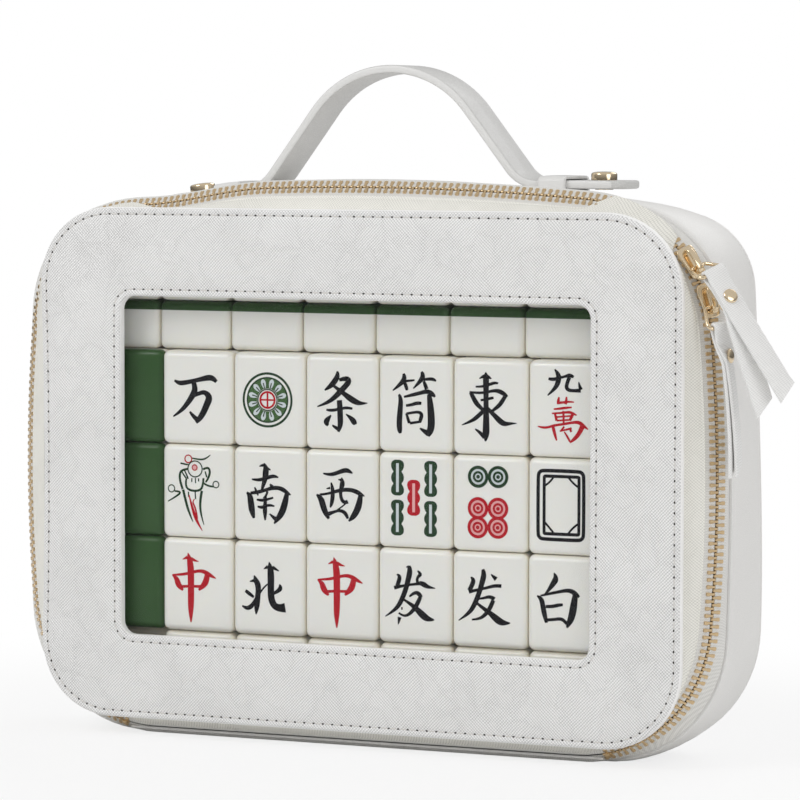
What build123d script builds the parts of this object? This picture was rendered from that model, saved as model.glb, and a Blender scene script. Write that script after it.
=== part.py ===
from build123d import *

import os
from math import cos, radians, sin, tan

# Zippered carrying case with a clear window, packed with domino-like game tiles.
# Millimetres. X runs left to right, Y from the front panel to the back, Z up.
# The origin is on the flat base, midway between the front and the back.

os.makedirs("parts", exist_ok=True)

# --- Driving dimensions -------------------------------------------------------------------

# Whole case
case_depth = 64.0
base_lift = 8.0  # the front panel's lower edge above the base

# Front panel and its window
panel_width = 303.0
panel_height = 225.0
panel_radius = 35.0
panel_thickness = 4.2
panel_edge_round = 0.9
window_width = 221.2
window_height = 148.1
window_sill = 38.1  # above the panel's lower edge
window_radius = 6.0
pane_thickness = 0.8
pane_lap = 8.0  # the pane's hidden border
lining_thickness = 2.2
lining_reveal = 1.0

# Lid gusset, from the panel's edge out to the zip
gusset_thickness = 1.6
gusset_inset = 0.3
gusset_flange = 8.5
gusset_flange_thickness = 1.4

# Zip line
zip_depth = 13.0
zip_side_reach = 11.0
zip_top_reach = 9.3
zip_base_reach = 5.0
zip_side_bow = 9.0
zip_top_bow = 9.0
zip_top_radius = 60.0
zip_base_radius = 60.0
zip_slant = 50.0  # degrees between the chain's width and the front plane
zip_pitch = 3.05
tooth_length = 3.9
tooth_overlap = 0.35
tooth_width = 1.1
tooth_height = 2.3
tape_thickness = 0.8
tape_clearance = 0.6  # between each tape's edge and the roots of its teeth
tape_cover = 1.6  # width of the lid's tape that shows beside its teeth
hinge_setback = 38.5  # from each side of the panel to the hinge's end
hinge_thickness = 1.2
hinge_clearance = 0.3
stop_length = 2.4
stop_width = 2.9
stop_height = 3.2

# Body shell
wall_front = 20.0
wall_thickness = 3.0
body_side_reach = 15.5
body_top_reach = 12.3
body_side_bow = 4.0
body_top_bow = 15.0
body_front_radius = 54.0  # top corners at the front edge
body_back_radius = 42.0
body_base_radius = 56.0
back_thickness = 4.0
back_round = 3.4
back_narrowing = 2.5
back_lowering = 3.0
base_trim = 0.3  # cut off level, so that the case stands flat
liner_thickness = 0.9
seam_step = 1.1  # how far the wall stands proud of the zip tape

# Sliders
slider_length = 14.5
slider_width = 8.6
slider_plate = 1.35
slider_corner = 2.0
tape_channel = 5.2  # width of tape that stays level with the chain beside the sliders
channel_height = 3.5
bridge_length = 11.0
bridge_width = 2.6
bridge_height = 3.6
bridge_bar = 1.1
lower_slider_rise = 12.8  # up the zip from where the upper corner starts
slider_spacing = 17.0
bay_margin = 0.8

# Pulls
ring_wire = 1.6
ring_inner_width = 12.4  # at the strap; narrower at the slider
ring_neck = 7.8
ring_inner_length = 9.2
ring_corner = 2.0
ring_offset = 3.0  # pivot from the slider's middle
strap_width = 10.0
strap_thickness = 1.4
strap_length = 62.0
strap_clearance = 0.3
strap_spread = 7.0  # degrees that the outer tail turns out below the rivet
strap_inner_spread = 1.5
strap_end_slant = 5.0
rivet_drop = 12.0
rivet_head = 6.2
rivet_head_height = 1.0
rivet_stem = 2.4
rivet_round = 0.8
upper_ring_lift = 50.0
upper_strap_lift = 0.0
lower_ring_lift = 30.0
lower_strap_lift = -9.0

# Handle
handle_shift = 4.5  # the handle's middle, to the right of the case's
handle_width = 25.0
handle_thickness = 3.6
handle_rise = 63.0  # top of the arch above the panel's upper edge
handle_crown = 45.3  # radius of the arch's top
handle_slope = 52.0  # of the straight legs, in degrees from level
handle_bend = 16.0
handle_seat = 9.2  # underside of the flat ends above the panel's upper edge
handle_depth = 43.0
handle_tail_start = 71.2  # from the handle's middle
handle_tail_length = 44.8
handle_tail_round = 9.0
left_tail_fall = 5.0  # degrees; the left tail follows the rounded top of the case
keeper_inset = 0.2
keeper_length = 12.0
keeper_thickness = 1.4
keeper_side = 2.4
keeper_clearance = 0.35
stud_reach = 24.3  # from the start of the tail
stud_head = 11.2
stud_height = 2.8
stud_stem = 3.0
stud_washer = 8.0
stud_washer_thickness = 0.4
stud_round = 2.4
fit_clearance = 0.05

# Tiles
tile_thickness = 21.2
tile_face_share = 0.66  # white part of the thickness
tile_gap = 0.2
tile_front = 7.6
upright_rows = 3
lying_rows_below = 2
lying_rows_above = 2
columns = 8
stack_floor = 4.2  # lowest tiles above the base
stack_headroom = 19.6  # highest tiles below the panel's upper edge
stack_left_room = 23.6  # between the tiles and the line of the panel's left edge
stack_right_room = 1.8
upper_setback = 6.8
lower_setback = 10.3
throat_margin = 5.5  # keeps the lying tiles clear of the zip and its sliders
reversed_setback = 1.2

# --- Places worked out from them ----------------------------------------------------------

panel_middle = base_lift + panel_height / 2
panel_top = base_lift + panel_height
zip_half_width = panel_width / 2 + zip_side_reach
body_half_width = panel_width / 2 + body_side_reach
zip_top = panel_top + zip_top_reach
zip_base = base_lift - zip_base_reach
body_top = panel_top + body_top_reach
back_start = case_depth - back_thickness
window_middle = base_lift + window_sill + window_height / 2
hinge_length = panel_width - 2 * hinge_setback
hinge_end = hinge_length / 2


def front_plane(depth):
    """Plane that faces the viewer, at this depth behind the front of the panel."""
    return Plane.XZ.offset(case_depth / 2 - depth)


def row_y(depth):
    return depth - case_depth / 2


def panel_outline(depth, grow=0.0):
    """Rounded rectangle of the front panel, grown or shrunk all round."""
    with BuildSketch(front_plane(depth)) as section:
        with Locations((0, panel_middle)):
            RectangleRounded(panel_width + 2 * grow, panel_height + 2 * grow, panel_radius + grow)
    return section.sketch


def panel_flange(depth):
    """Ring just inside the panel's edge, which the gusset is stitched on by."""
    outside = -gusset_inset
    inside = -gusset_inset - gusset_flange
    with BuildSketch(front_plane(depth)) as section:
        with Locations((0, panel_middle)):
            RectangleRounded(
                panel_width + 2 * outside, panel_height + 2 * outside, panel_radius + outside
            )
            RectangleRounded(
                panel_width + 2 * inside, panel_height + 2 * inside, panel_radius + inside,
                mode=Mode.SUBTRACT,
            )
    return section.sketch


def bowed_outline(depth, half_width, top, base, side_bow, top_bow, top_radius, base_radius):
    """Flat base, gently bowed sides and top, rounded corners."""
    foot = half_width - side_bow
    shoulder = top - top_bow
    middle = (top + base) / 2
    with BuildSketch(front_plane(depth)) as section:
        with BuildLine():
            Line((-foot, base), (foot, base))
            ThreePointArc((foot, base), (half_width, middle), (foot, shoulder))
            ThreePointArc((foot, shoulder), (0, top), (-foot, shoulder))
            ThreePointArc((-foot, shoulder), (-half_width, middle), (-foot, base))
        make_face()
        fillet(section.vertices().group_by(Axis.Y)[0], base_radius)
        fillet(section.vertices().group_by(Axis.Y)[-1], top_radius)
    return section.sketch


def zip_outline(depth, grow=0.0):
    """Centre line of the zip's chain, grown or shrunk all round."""
    return bowed_outline(
        depth,
        zip_half_width + grow,
        zip_top + grow,
        zip_base - grow,
        zip_side_bow,
        zip_top_bow,
        zip_top_radius + grow,
        zip_base_radius + grow,
    )


def body_outline(depth, grow=0.0):
    """Outside of the body wall at this depth; it narrows a little towards the back."""
    share = (depth - wall_front) / (back_start - wall_front)
    return bowed_outline(
        depth,
        body_half_width - share * back_narrowing + grow,
        body_top - share * back_lowering + grow,
        -base_trim - grow,
        body_side_bow,
        body_top_bow,
        body_front_radius + share * (body_back_radius - body_front_radius) + grow,
        body_base_radius + grow,
    )


# --- Body shell ---------------------------------------------------------------------------

with BuildPart() as body_block:
    loft([body_outline(wall_front), body_outline(back_start)])

with BuildPart() as body_side_wall:
    loft([body_outline(wall_front), body_outline(back_start)])
    inner_front = body_outline(wall_front, -wall_thickness)
    inner_back = body_outline(back_start, -wall_thickness)
    loft([inner_front, inner_back], mode=Mode.SUBTRACT)
    split(bisect_by=Plane.XY, keep=Keep.TOP)

with BuildPart() as body_back_panel:
    extrude(body_outline(back_start), amount=-back_thickness)
    fillet(body_back_panel.faces().sort_by(Axis.Y)[-1].edges(), back_round)
    split(bisect_by=Plane.XY, keep=Keep.TOP)

liner_outside = -wall_thickness - fit_clearance
liner_inside = liner_outside - liner_thickness
liner_back = back_start - fit_clearance
with BuildPart() as body_lining:
    loft([body_outline(wall_front, liner_outside), body_outline(liner_back, liner_outside)])
    liner_floor = liner_back - liner_thickness
    hollow_front = body_outline(wall_front, liner_inside)
    hollow_back = body_outline(liner_floor, liner_inside)
    loft([hollow_front, hollow_back], mode=Mode.SUBTRACT)

# --- Lid ----------------------------------------------------------------------------------

with BuildPart() as lid_front_panel:
    extrude(panel_outline(0), amount=-panel_thickness)
    with BuildSketch(front_plane(0)) as window_cut:
        with Locations((0, window_middle)):
            RectangleRounded(window_width, window_height, window_radius)
    extrude(amount=-panel_thickness, mode=Mode.SUBTRACT)
    fillet(lid_front_panel.faces().sort_by(Axis.Y)[0].edges(), panel_edge_round)

with BuildPart() as window_pane:
    with BuildSketch(front_plane(panel_thickness)) as pane_shape:
        with Locations((0, window_middle)):
            RectangleRounded(
                window_width + 2 * pane_lap, window_height + 2 * pane_lap, window_radius + pane_lap
            )
    extrude(amount=-pane_thickness)

with BuildPart() as lid_lining:
    lining_edge = -gusset_inset - gusset_flange - fit_clearance
    extrude(panel_outline(panel_thickness, lining_edge), amount=-lining_thickness)
    with BuildSketch(front_plane(panel_thickness)) as pane_pocket:
        with Locations((0, window_middle)):
            RectangleRounded(
                window_width + 2 * (pane_lap + fit_clearance),
                window_height + 2 * (pane_lap + fit_clearance),
                window_radius + pane_lap,
            )
    extrude(amount=-pane_thickness, mode=Mode.SUBTRACT)
    with BuildSketch(front_plane(panel_thickness)) as lining_window:
        with Locations((0, window_middle)):
            RectangleRounded(
                window_width + 2 * lining_reveal, window_height + 2 * lining_reveal, window_radius
            )
    extrude(amount=-lining_thickness, mode=Mode.SUBTRACT)

# The chain lies on a cone-like band; these are where its width starts and ends.
slant_out = cos(radians(zip_slant))
slant_back = sin(radians(zip_slant))
tape_edge = tooth_length - tooth_overlap + tape_clearance
gusset_edge = tape_edge + tape_cover
gusset_end = zip_depth - gusset_edge * slant_back
gusset_grow = -gusset_edge * slant_out
lid_tape_end = zip_depth - tape_edge * slant_back
body_tape_start = zip_depth + tape_edge * slant_back
tape_grow = tape_edge * slant_out
hinge_front = zip_depth + fit_clearance

with BuildPart() as lid_gusset:
    loft([panel_outline(panel_thickness, -gusset_inset), zip_outline(gusset_end, gusset_grow)])
    gusset_inner_front = panel_outline(panel_thickness, -gusset_inset - gusset_thickness)
    gusset_inner_back = zip_outline(gusset_end, gusset_grow - gusset_thickness)
    loft([gusset_inner_front, gusset_inner_back], mode=Mode.SUBTRACT)
    extrude(panel_flange(panel_thickness), amount=-gusset_flange_thickness)

with BuildPart() as lid_zip_tape:
    outer_grow = gusset_grow - gusset_thickness / 3
    loft([zip_outline(gusset_end, outer_grow), zip_outline(lid_tape_end, -tape_grow)])
    tape_inner_front = zip_outline(gusset_end, outer_grow - tape_thickness)
    tape_inner_back = zip_outline(lid_tape_end, -tape_grow - tape_thickness)
    loft([tape_inner_front, tape_inner_back], mode=Mode.SUBTRACT)

# --- Zip chain ----------------------------------------------------------------------------

zip_rail = zip_outline(zip_depth).face().outer_wire()
chain_count = round(zip_rail.length / zip_pitch)
side_arc = zip_rail.edges().sort_by(Axis.X)[-1]
corner_arc = zip_rail.edges().sort_by_distance((zip_half_width, row_y(zip_depth), zip_top))[0]


def chain_plane(share):
    """Plane on the chain: X down the right side, Y across it to the body, Z outwards."""
    point = zip_rail.position_at(share % 1)
    backward = Vector(0, 1, 0)
    outward = zip_rail.tangent_at(share % 1).cross(backward)
    if outward.dot(point - Vector(0, point.Y, panel_middle)) < 0:
        outward = outward * -1
    across = outward * slant_out + backward * slant_back
    normal = outward * slant_back - backward * slant_out
    return Plane(origin=point, x_dir=across.cross(normal), z_dir=normal)


def in_hinge(place):
    """True along the base, where leather joins the lid and the body and there is no zip."""
    return abs(place.origin.X) < hinge_end and place.origin.Z < panel_middle


def shifted(place, along, across, out):
    """The same plane with its origin moved in its own directions."""
    origin = place.from_local_coords((along, across, out))
    return Plane(origin=origin, x_dir=place.x_dir, z_dir=place.z_dir)


def tooth_places(first_share, side):
    """Middles of the teeth of one tape; side is 1 for the body's and -1 for the lid's."""
    places = [chain_plane(first_share + index / chain_count) for index in range(chain_count)]
    reach = side * (tooth_length / 2 - tooth_overlap)
    return [shifted(place, 0, reach, 0) for place in places if not in_hinge(place)]


corner_start = corner_arc.vertices().sort_by(Axis.Z)[0]
corner_share = zip_rail.param_at_point(corner_start.center())
upward = zip_rail.position_at(corner_share + 0.01).Z > corner_start.Z
share_per_mm = (1 if upward else -1) / zip_rail.length
lower_place = chain_plane(corner_share + lower_slider_rise * share_per_mm)
upper_place = chain_plane(corner_share + (lower_slider_rise + slider_spacing) * share_per_mm)
bay_length = slider_length + 2 * bay_margin
bay_width = slider_width + bay_margin


def in_bay(place):
    """True where a closed slider covers the body's teeth."""
    near = min((place.origin - slider.origin).length for slider in (lower_place, upper_place))
    return near < (bay_length + tooth_width) / 2


with BuildPart() as lid_zip_teeth:
    with Locations(*tooth_places(0, -1)):
        Box(tooth_width, tooth_length, tooth_height)

body_teeth = tooth_places(0.5 / chain_count, 1)
low_teeth = sorted((place for place in body_teeth if place.origin.Z < panel_middle),
                   key=lambda place: abs(place.origin.X))
stop_places = low_teeth[:2]  # the first tooth at each end gives way to a stop
body_teeth = [place for place in body_teeth if place not in stop_places and not in_bay(place)]

with BuildPart() as body_zip_teeth:
    with Locations(*body_teeth):
        Box(tooth_width, tooth_length, tooth_height)

with BuildPart() as zip_end_stops:
    for place in stop_places:
        with Locations(place):
            with Locations((0, tooth_length / 2, 0)):
                Box(stop_length, stop_width, stop_height,
                    align=(Align.CENTER, Align.MAX, Align.CENTER))

tape_turn = zip_depth + tape_channel * slant_back
tape_turn_grow = tape_channel * slant_out
with BuildPart() as body_zip_tape:
    loft([zip_outline(body_tape_start, tape_grow), zip_outline(tape_turn, tape_turn_grow)])
    loft([zip_outline(tape_turn, tape_turn_grow), body_outline(wall_front, -seam_step)])
    tape_inner_start = zip_outline(body_tape_start, tape_grow - tape_thickness)
    tape_inner_turn = zip_outline(tape_turn, tape_turn_grow - tape_thickness)
    tape_inner_end = body_outline(wall_front, -seam_step - tape_thickness)
    loft([tape_inner_start, tape_inner_turn], mode=Mode.SUBTRACT)
    loft([tape_inner_turn, tape_inner_end], mode=Mode.SUBTRACT)
    with Locations((0, row_y(wall_front), 0)):
        Box(hinge_length, 2 * (wall_front - zip_depth), base_lift + wall_thickness,
            mode=Mode.SUBTRACT)
    with Locations(lower_place, upper_place):
        Box(bay_length, bay_width, 4 * channel_height, mode=Mode.SUBTRACT)

with BuildPart() as hinge_strip:
    with Locations((0, row_y(hinge_front), zip_base - hinge_clearance)):
        Box(hinge_length - 1, wall_front - hinge_front, hinge_thickness,
            align=(Align.CENTER, Align.MIN, Align.MAX))

# --- Sliders and their pulls --------------------------------------------------------------

plate_top = channel_height / 2 + slider_plate
pivot_height = plate_top + (bridge_height - bridge_bar) / 2


def slider_piece(place):
    """Two plates either side of the chain, with an arched bridge on the outer one."""
    with BuildPart(place) as piece:
        with Locations((0, 0, channel_height / 2)):
            Box(slider_length, slider_width, slider_plate, align=(Align.CENTER, Align.CENTER, Align.MIN))
        with Locations((0, 0, -channel_height / 2)):
            Box(slider_length, slider_width, slider_plate, align=(Align.CENTER, Align.CENTER, Align.MAX))
        fillet(piece.edges().filter_by(Axis(place.origin, place.z_dir)), slider_corner)
        with Locations((0, 0, plate_top)):
            Box(bridge_length, bridge_width, bridge_height,
                align=(Align.CENTER, Align.CENTER, Align.MIN))
        bridge_edges = piece.edges().filter_by(Axis(place.origin, place.y_dir))
        bridge_rims = bridge_edges.sort_by(Axis(place.origin, place.z_dir))[-2:]
        fillet(bridge_rims, bridge_bar)
        with Locations((0, 0, plate_top)):
            Box(bridge_length - 2 * bridge_bar, bridge_width, bridge_height - bridge_bar,
                align=(Align.CENTER, Align.CENTER, Align.MIN), mode=Mode.SUBTRACT)
    return piece.part


def tilted(place, distance, height, lift):
    """Plane moved along and above another one, and lifted about its own Y."""
    turn = radians(lift)
    return Plane(
        origin=place.from_local_coords((distance, 0, height)),
        x_dir=place.x_dir * cos(turn) + place.z_dir * sin(turn),
        z_dir=place.z_dir * cos(turn) - place.x_dir * sin(turn),
    )


ring_reach = ring_inner_length + ring_wire
ring_spread = (ring_inner_width + ring_wire) / 2


def pull_ring(place):
    """Wire loop whose near bar passes under the slider's bridge."""
    with BuildPart() as piece:
        with BuildLine(place) as loop:
            FilletPolyline(
                (0, -ring_neck / 2), (ring_reach, -ring_spread), (ring_reach, ring_spread),
                (0, ring_neck / 2), radius=ring_corner, close=True,
            )
        with BuildSketch(Plane(loop.wires()[0] @ 0, z_dir=loop.wires()[0] % 0)):
            Circle(ring_wire / 2)
        sweep(path=loop.wires()[0])
    return piece.part


fold_radius = ring_wire / 2 + strap_clearance + strap_thickness / 2
tail_height = strap_thickness / 2 + fit_clearance


def pull_strap(place):
    """Leather strip folded over the ring's far bar, its two tails held by the rivet."""
    side_view = Plane(origin=place.origin, x_dir=place.x_dir, z_dir=-place.y_dir)
    neck = rivet_drop - rivet_head
    knee = rivet_drop + rivet_head
    tail_run = strap_length - knee
    with BuildPart() as piece:
        with BuildSketch(side_view):
            with BuildLine():
                ThreePointArc((0, fold_radius), (-fold_radius, 0), (0, -fold_radius))
                for side, spread in ((1, radians(strap_spread)), (-1, radians(strap_inner_spread))):
                    Polyline(
                        (0, side * fold_radius), (neck, side * tail_height), (knee, side * tail_height),
                        (knee + tail_run * cos(spread), side * (tail_height + tail_run * sin(spread))),
                    )
            trace(line_width=strap_thickness)
        extrude(amount=strap_width / 2, both=True)
        with BuildSketch(place):
            start = -2 * fold_radius
            Polygon(
                (start, -strap_width / 2), (strap_length, -strap_width / 2),
                (strap_length - strap_end_slant, strap_width / 2), (start, strap_width / 2),
                align=None,
            )
        extrude(amount=strap_length, both=True, mode=Mode.INTERSECT)
        with Locations(place):
            with Locations((rivet_drop, 0, 0)):
                Hole(rivet_stem / 2 + fit_clearance)
    return piece.part


def pull_rivet(place):
    """Rivet with a low domed head on each side of the strap."""
    grip = strap_thickness + 2 * fit_clearance
    with BuildPart(place) as piece:
        with Locations((rivet_drop, 0, 0)):
            Cylinder(rivet_stem / 2, 2 * grip)
        with Locations((rivet_drop, 0, grip)):
            Cylinder(rivet_head / 2, rivet_head_height,
                     align=(Align.CENTER, Align.CENTER, Align.MIN))
        with Locations((rivet_drop, 0, -grip)):
            Cylinder(rivet_head / 2, rivet_head_height,
                     align=(Align.CENTER, Align.CENTER, Align.MAX))
        rims = piece.edges().sort_by(Axis(place.origin, place.z_dir))
        fillet([rims[0], rims[-1]], rivet_round)
    return piece.part


upper_ring_place = tilted(upper_place, ring_offset, pivot_height, upper_ring_lift)
lower_ring_place = tilted(lower_place, ring_offset, pivot_height, lower_ring_lift)
upper_strap_place = tilted(upper_ring_place, ring_reach, 0, upper_strap_lift - upper_ring_lift)
lower_strap_place = tilted(lower_ring_place, ring_reach, 0, lower_strap_lift - lower_ring_lift)

# --- Handle -------------------------------------------------------------------------------

handle_y = row_y(handle_depth)
seat_height = panel_top + handle_seat
strap_middle = seat_height + handle_thickness / 2
crown_top = panel_top + handle_rise - handle_thickness / 2
leg_slope = radians(handle_slope)
apex_height = crown_top + handle_crown * (1 / cos(leg_slope) - 1)
foot_reach = (apex_height - strap_middle) / tan(leg_slope)

with BuildPart() as handle_arch:
    with BuildLine(Plane.XZ.offset(-handle_y)) as arch_line:
        FilletPolyline(
            (handle_shift - handle_tail_start, strap_middle),
            (handle_shift - foot_reach, strap_middle),
            (handle_shift, apex_height),
            (handle_shift + foot_reach, strap_middle),
            (handle_shift + handle_tail_start, strap_middle),
            radius=[handle_bend, handle_crown, handle_bend],
        )
    with BuildSketch(Plane(arch_line.wires()[0] @ 0, x_dir=(0, 1, 0), z_dir=(1, 0, 0))):
        Rectangle(handle_width, handle_thickness)
    sweep(path=arch_line.wires()[0])


def tail_place(side):
    """Plane on the seat where a tail starts: X outwards along it, Z up."""
    fall = radians(left_tail_fall) if side < 0 else 0.0
    start = (handle_shift + side * handle_tail_start, handle_y, seat_height)
    outward = (side * cos(fall), 0, -sin(fall))
    return Plane(origin=start, x_dir=outward, z_dir=(side * sin(fall), 0, cos(fall)))


def handle_tail(side):
    """Flat end of the handle's strap, with a round end and the stud's hole."""
    with BuildPart(tail_place(side)) as piece:
        with Locations((handle_tail_length / 2, 0, 0)):
            Box(handle_tail_length, handle_width, handle_thickness,
                align=(Align.CENTER, Align.CENTER, Align.MIN))
        end_corners = piece.edges().filter_by(Axis(tail_place(side).origin, tail_place(side).z_dir))
        end_corners = end_corners.sort_by(Axis(tail_place(side).origin, tail_place(side).x_dir))
        fillet(end_corners[-2:], handle_tail_round)
        with Locations((stud_reach, 0, handle_thickness)):
            Hole(stud_stem / 2 + fit_clearance)
    return piece.part


def handle_keeper(side):
    """Low leather loop, stitched to the top of the case, that the tail slides through."""
    slot_top = handle_thickness + keeper_clearance
    slot_width = handle_width + 2 * keeper_clearance
    drop = 3 * handle_thickness
    place = tail_place(side)
    with BuildPart(place) as piece:
        with Locations((keeper_length / 2 - keeper_inset, 0, slot_top + keeper_thickness)):
            Box(keeper_length, slot_width + 2 * keeper_side, drop + keeper_thickness,
                align=(Align.CENTER, Align.CENTER, Align.MAX))
        rims = piece.edges().filter_by(Axis(place.origin, place.x_dir))
        fillet(rims.sort_by(Axis(place.origin, place.z_dir))[-2:], 2 * keeper_thickness)
        with Locations((keeper_length / 2 - keeper_inset, 0, slot_top)):
            Box(keeper_length, slot_width, drop,
                align=(Align.CENTER, Align.CENTER, Align.MAX), mode=Mode.SUBTRACT)
    return piece.part - body_block.part


def handle_stud(side):
    """Domed stud through the tail, with a washer under the leather."""
    place = tail_place(side)
    with BuildPart(place) as piece:
        with Locations((stud_reach, 0, 0)):
            Cylinder(stud_washer / 2, stud_washer_thickness,
                     align=(Align.CENTER, Align.CENTER, Align.MAX))
            Cylinder(stud_stem / 2, handle_thickness,
                     align=(Align.CENTER, Align.CENTER, Align.MIN))
        with Locations((stud_reach, 0, handle_thickness)):
            Cylinder(stud_head / 2, stud_height, align=(Align.CENTER, Align.CENTER, Align.MIN))
        fillet(piece.edges().sort_by(Axis(place.origin, place.z_dir))[-1], stud_round)
    return piece.part


# --- Tiles --------------------------------------------------------------------------------

# The case is made to its tiles, so their width and height follow from the panel's.
column_pitch = (panel_width - stack_left_room - stack_right_room) / columns
tile_width = column_pitch - tile_gap
layer_pitch = tile_thickness + tile_gap
lying_rows = lying_rows_below + lying_rows_above
stack_height = panel_top - stack_headroom - stack_floor
row_pitch = (stack_height - lying_rows * layer_pitch) / upright_rows
tile_height = row_pitch - tile_gap
face_thickness = tile_thickness * tile_face_share
cover_thickness = tile_thickness - face_thickness
upright_base = stack_floor + lying_rows_below * layer_pitch
upper_base = upright_base + upright_rows * row_pitch
back_limit = body_outline(liner_floor, liner_inside).face()
front_limit = body_outline(wall_front, liner_inside).face()
throat_limit = zip_outline(zip_depth, -throat_margin).face()


def column_x(column):
    """Middle of a column of tiles, counted from the left."""
    return stack_left_room - panel_width / 2 + column_pitch * column + tile_width / 2


def clears(limit, column, base):
    """True where a lying tile's four corners lie inside this outline."""
    half = tile_width / 2
    return all(
        limit.is_inside(Vector(column_x(column) + dx, limit.center().Y, base + dz))
        for dx in (-half, half) for dz in (0, tile_thickness)
    )


def upright_tiles(columns_shown, front, thickness):
    """Blocks of this thickness for the upright rows, starting at this depth."""
    with BuildPart() as blocks:
        for column in columns_shown:
            for row in range(upright_rows):
                with Locations((column_x(column), row_y(front), upright_base + row * row_pitch)):
                    Box(tile_width, thickness, tile_height,
                        align=(Align.CENTER, Align.MIN, Align.MIN))
    return blocks


def lying_tiles(bases, front, limits, lift, thickness):
    """Blocks of this thickness, this far above the bottom of each lying tile."""
    with BuildPart() as blocks:
        for base in bases:
            for column in all_columns:
                if all(clears(limit, column, base) for limit in limits):
                    with Locations((column_x(column), row_y(front), base + lift)):
                        Box(tile_width, tile_height, thickness,
                            align=(Align.CENTER, Align.MIN, Align.MIN))
    return blocks


all_columns = range(columns)
faced_columns = all_columns[1:]
turned_columns = all_columns[:1]
turned_front = tile_front + reversed_setback
rear_front = turned_front + layer_pitch
lower_bases = [upright_base - (row + 1) * layer_pitch for row in range(lying_rows_below)]
upper_bases = [upper_base + row * layer_pitch for row in range(lying_rows_above)]

tiles_front_faces = upright_tiles(faced_columns, tile_front, face_thickness)
tiles_front_covers = upright_tiles(faced_columns, tile_front + face_thickness, cover_thickness)
tiles_turned_covers = upright_tiles(turned_columns, turned_front, cover_thickness)
tiles_turned_faces = upright_tiles(
    turned_columns, turned_front + cover_thickness, face_thickness
)
tiles_rear_faces = upright_tiles(all_columns, rear_front, face_thickness)
tiles_rear_covers = upright_tiles(all_columns, rear_front + face_thickness, cover_thickness)
lower_front = tile_front + lower_setback
lower_limits = [back_limit, front_limit]
tiles_lower_faces = lying_tiles(lower_bases, lower_front, lower_limits, 0, face_thickness)
tiles_lower_covers = lying_tiles(
    lower_bases, lower_front, lower_limits, face_thickness, cover_thickness
)
upper_front = tile_front + upper_setback
upper_limits = [back_limit, throat_limit]
tiles_upper_faces = lying_tiles(upper_bases, upper_front, upper_limits, 0, face_thickness)
tiles_upper_covers = lying_tiles(
    upper_bases, upper_front, upper_limits, face_thickness, cover_thickness
)

# --- Pieces -------------------------------------------------------------------------------

pieces = {
    "body_side_wall": body_side_wall.part,
    "body_back_panel": body_back_panel.part,
    "body_lining": body_lining.part,
    "body_zip_tape": body_zip_tape.part,
    "body_zip_teeth": body_zip_teeth.part,
    "zip_end_stops": zip_end_stops.part,
    "hinge_strip": hinge_strip.part,
    "handle_keeper_left": handle_keeper(-1),
    "handle_keeper_right": handle_keeper(1),
    "handle_arch": handle_arch.part,
    "handle_tail_left": handle_tail(-1),
    "handle_tail_right": handle_tail(1),
    "handle_stud_left": handle_stud(-1),
    "handle_stud_right": handle_stud(1),
    "lid_front_panel": lid_front_panel.part,
    "window_pane": window_pane.part,
    "lid_lining": lid_lining.part,
    "lid_gusset": lid_gusset.part,
    "lid_zip_tape": lid_zip_tape.part,
    "lid_zip_teeth": lid_zip_teeth.part,
    "slider_upper": slider_piece(upper_place),
    "slider_lower": slider_piece(lower_place),
    "pull_ring_upper": pull_ring(upper_ring_place),
    "pull_ring_lower": pull_ring(lower_ring_place),
    "pull_strap_upper": pull_strap(upper_strap_place),
    "pull_strap_lower": pull_strap(lower_strap_place),
    "pull_rivet_upper": pull_rivet(upper_strap_place),
    "pull_rivet_lower": pull_rivet(lower_strap_place),
    "tiles_front_faces": tiles_front_faces.part,
    "tiles_front_covers": tiles_front_covers.part,
    "tiles_turned_faces": tiles_turned_faces.part,
    "tiles_turned_covers": tiles_turned_covers.part,
    "tiles_rear_faces": tiles_rear_faces.part,
    "tiles_rear_covers": tiles_rear_covers.part,
    "tiles_lower_faces": tiles_lower_faces.part,
    "tiles_lower_covers": tiles_lower_covers.part,
    "tiles_upper_faces": tiles_upper_faces.part,
    "tiles_upper_covers": tiles_upper_covers.part,
}

for name, piece in pieces.items():
    piece.label = name
    export_step(piece, f"parts/{name}.step")
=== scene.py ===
from math import atan2, cos, degrees, hypot, pi, radians, sin, sqrt

import bmesh
import bpy
from mathutils import Euler, Matrix, Vector


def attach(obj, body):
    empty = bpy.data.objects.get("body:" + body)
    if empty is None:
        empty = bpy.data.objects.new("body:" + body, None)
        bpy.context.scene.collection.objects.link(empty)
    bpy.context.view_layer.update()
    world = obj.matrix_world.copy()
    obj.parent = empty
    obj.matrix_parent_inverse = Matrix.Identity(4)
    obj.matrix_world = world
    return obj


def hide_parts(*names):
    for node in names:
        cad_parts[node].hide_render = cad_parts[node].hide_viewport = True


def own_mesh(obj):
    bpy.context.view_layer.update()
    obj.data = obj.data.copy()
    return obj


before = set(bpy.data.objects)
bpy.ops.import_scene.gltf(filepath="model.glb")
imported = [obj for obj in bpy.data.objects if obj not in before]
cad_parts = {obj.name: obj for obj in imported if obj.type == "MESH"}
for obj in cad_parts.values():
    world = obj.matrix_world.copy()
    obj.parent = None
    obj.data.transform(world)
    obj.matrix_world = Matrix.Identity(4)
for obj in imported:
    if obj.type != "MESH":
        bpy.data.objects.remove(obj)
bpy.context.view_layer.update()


# ---- Table, light and view -------------------------------------------------------------
# The case stands on a plain white table. Soft light comes from a large window on the upper
# left, with a weaker fill from the right.

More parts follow.
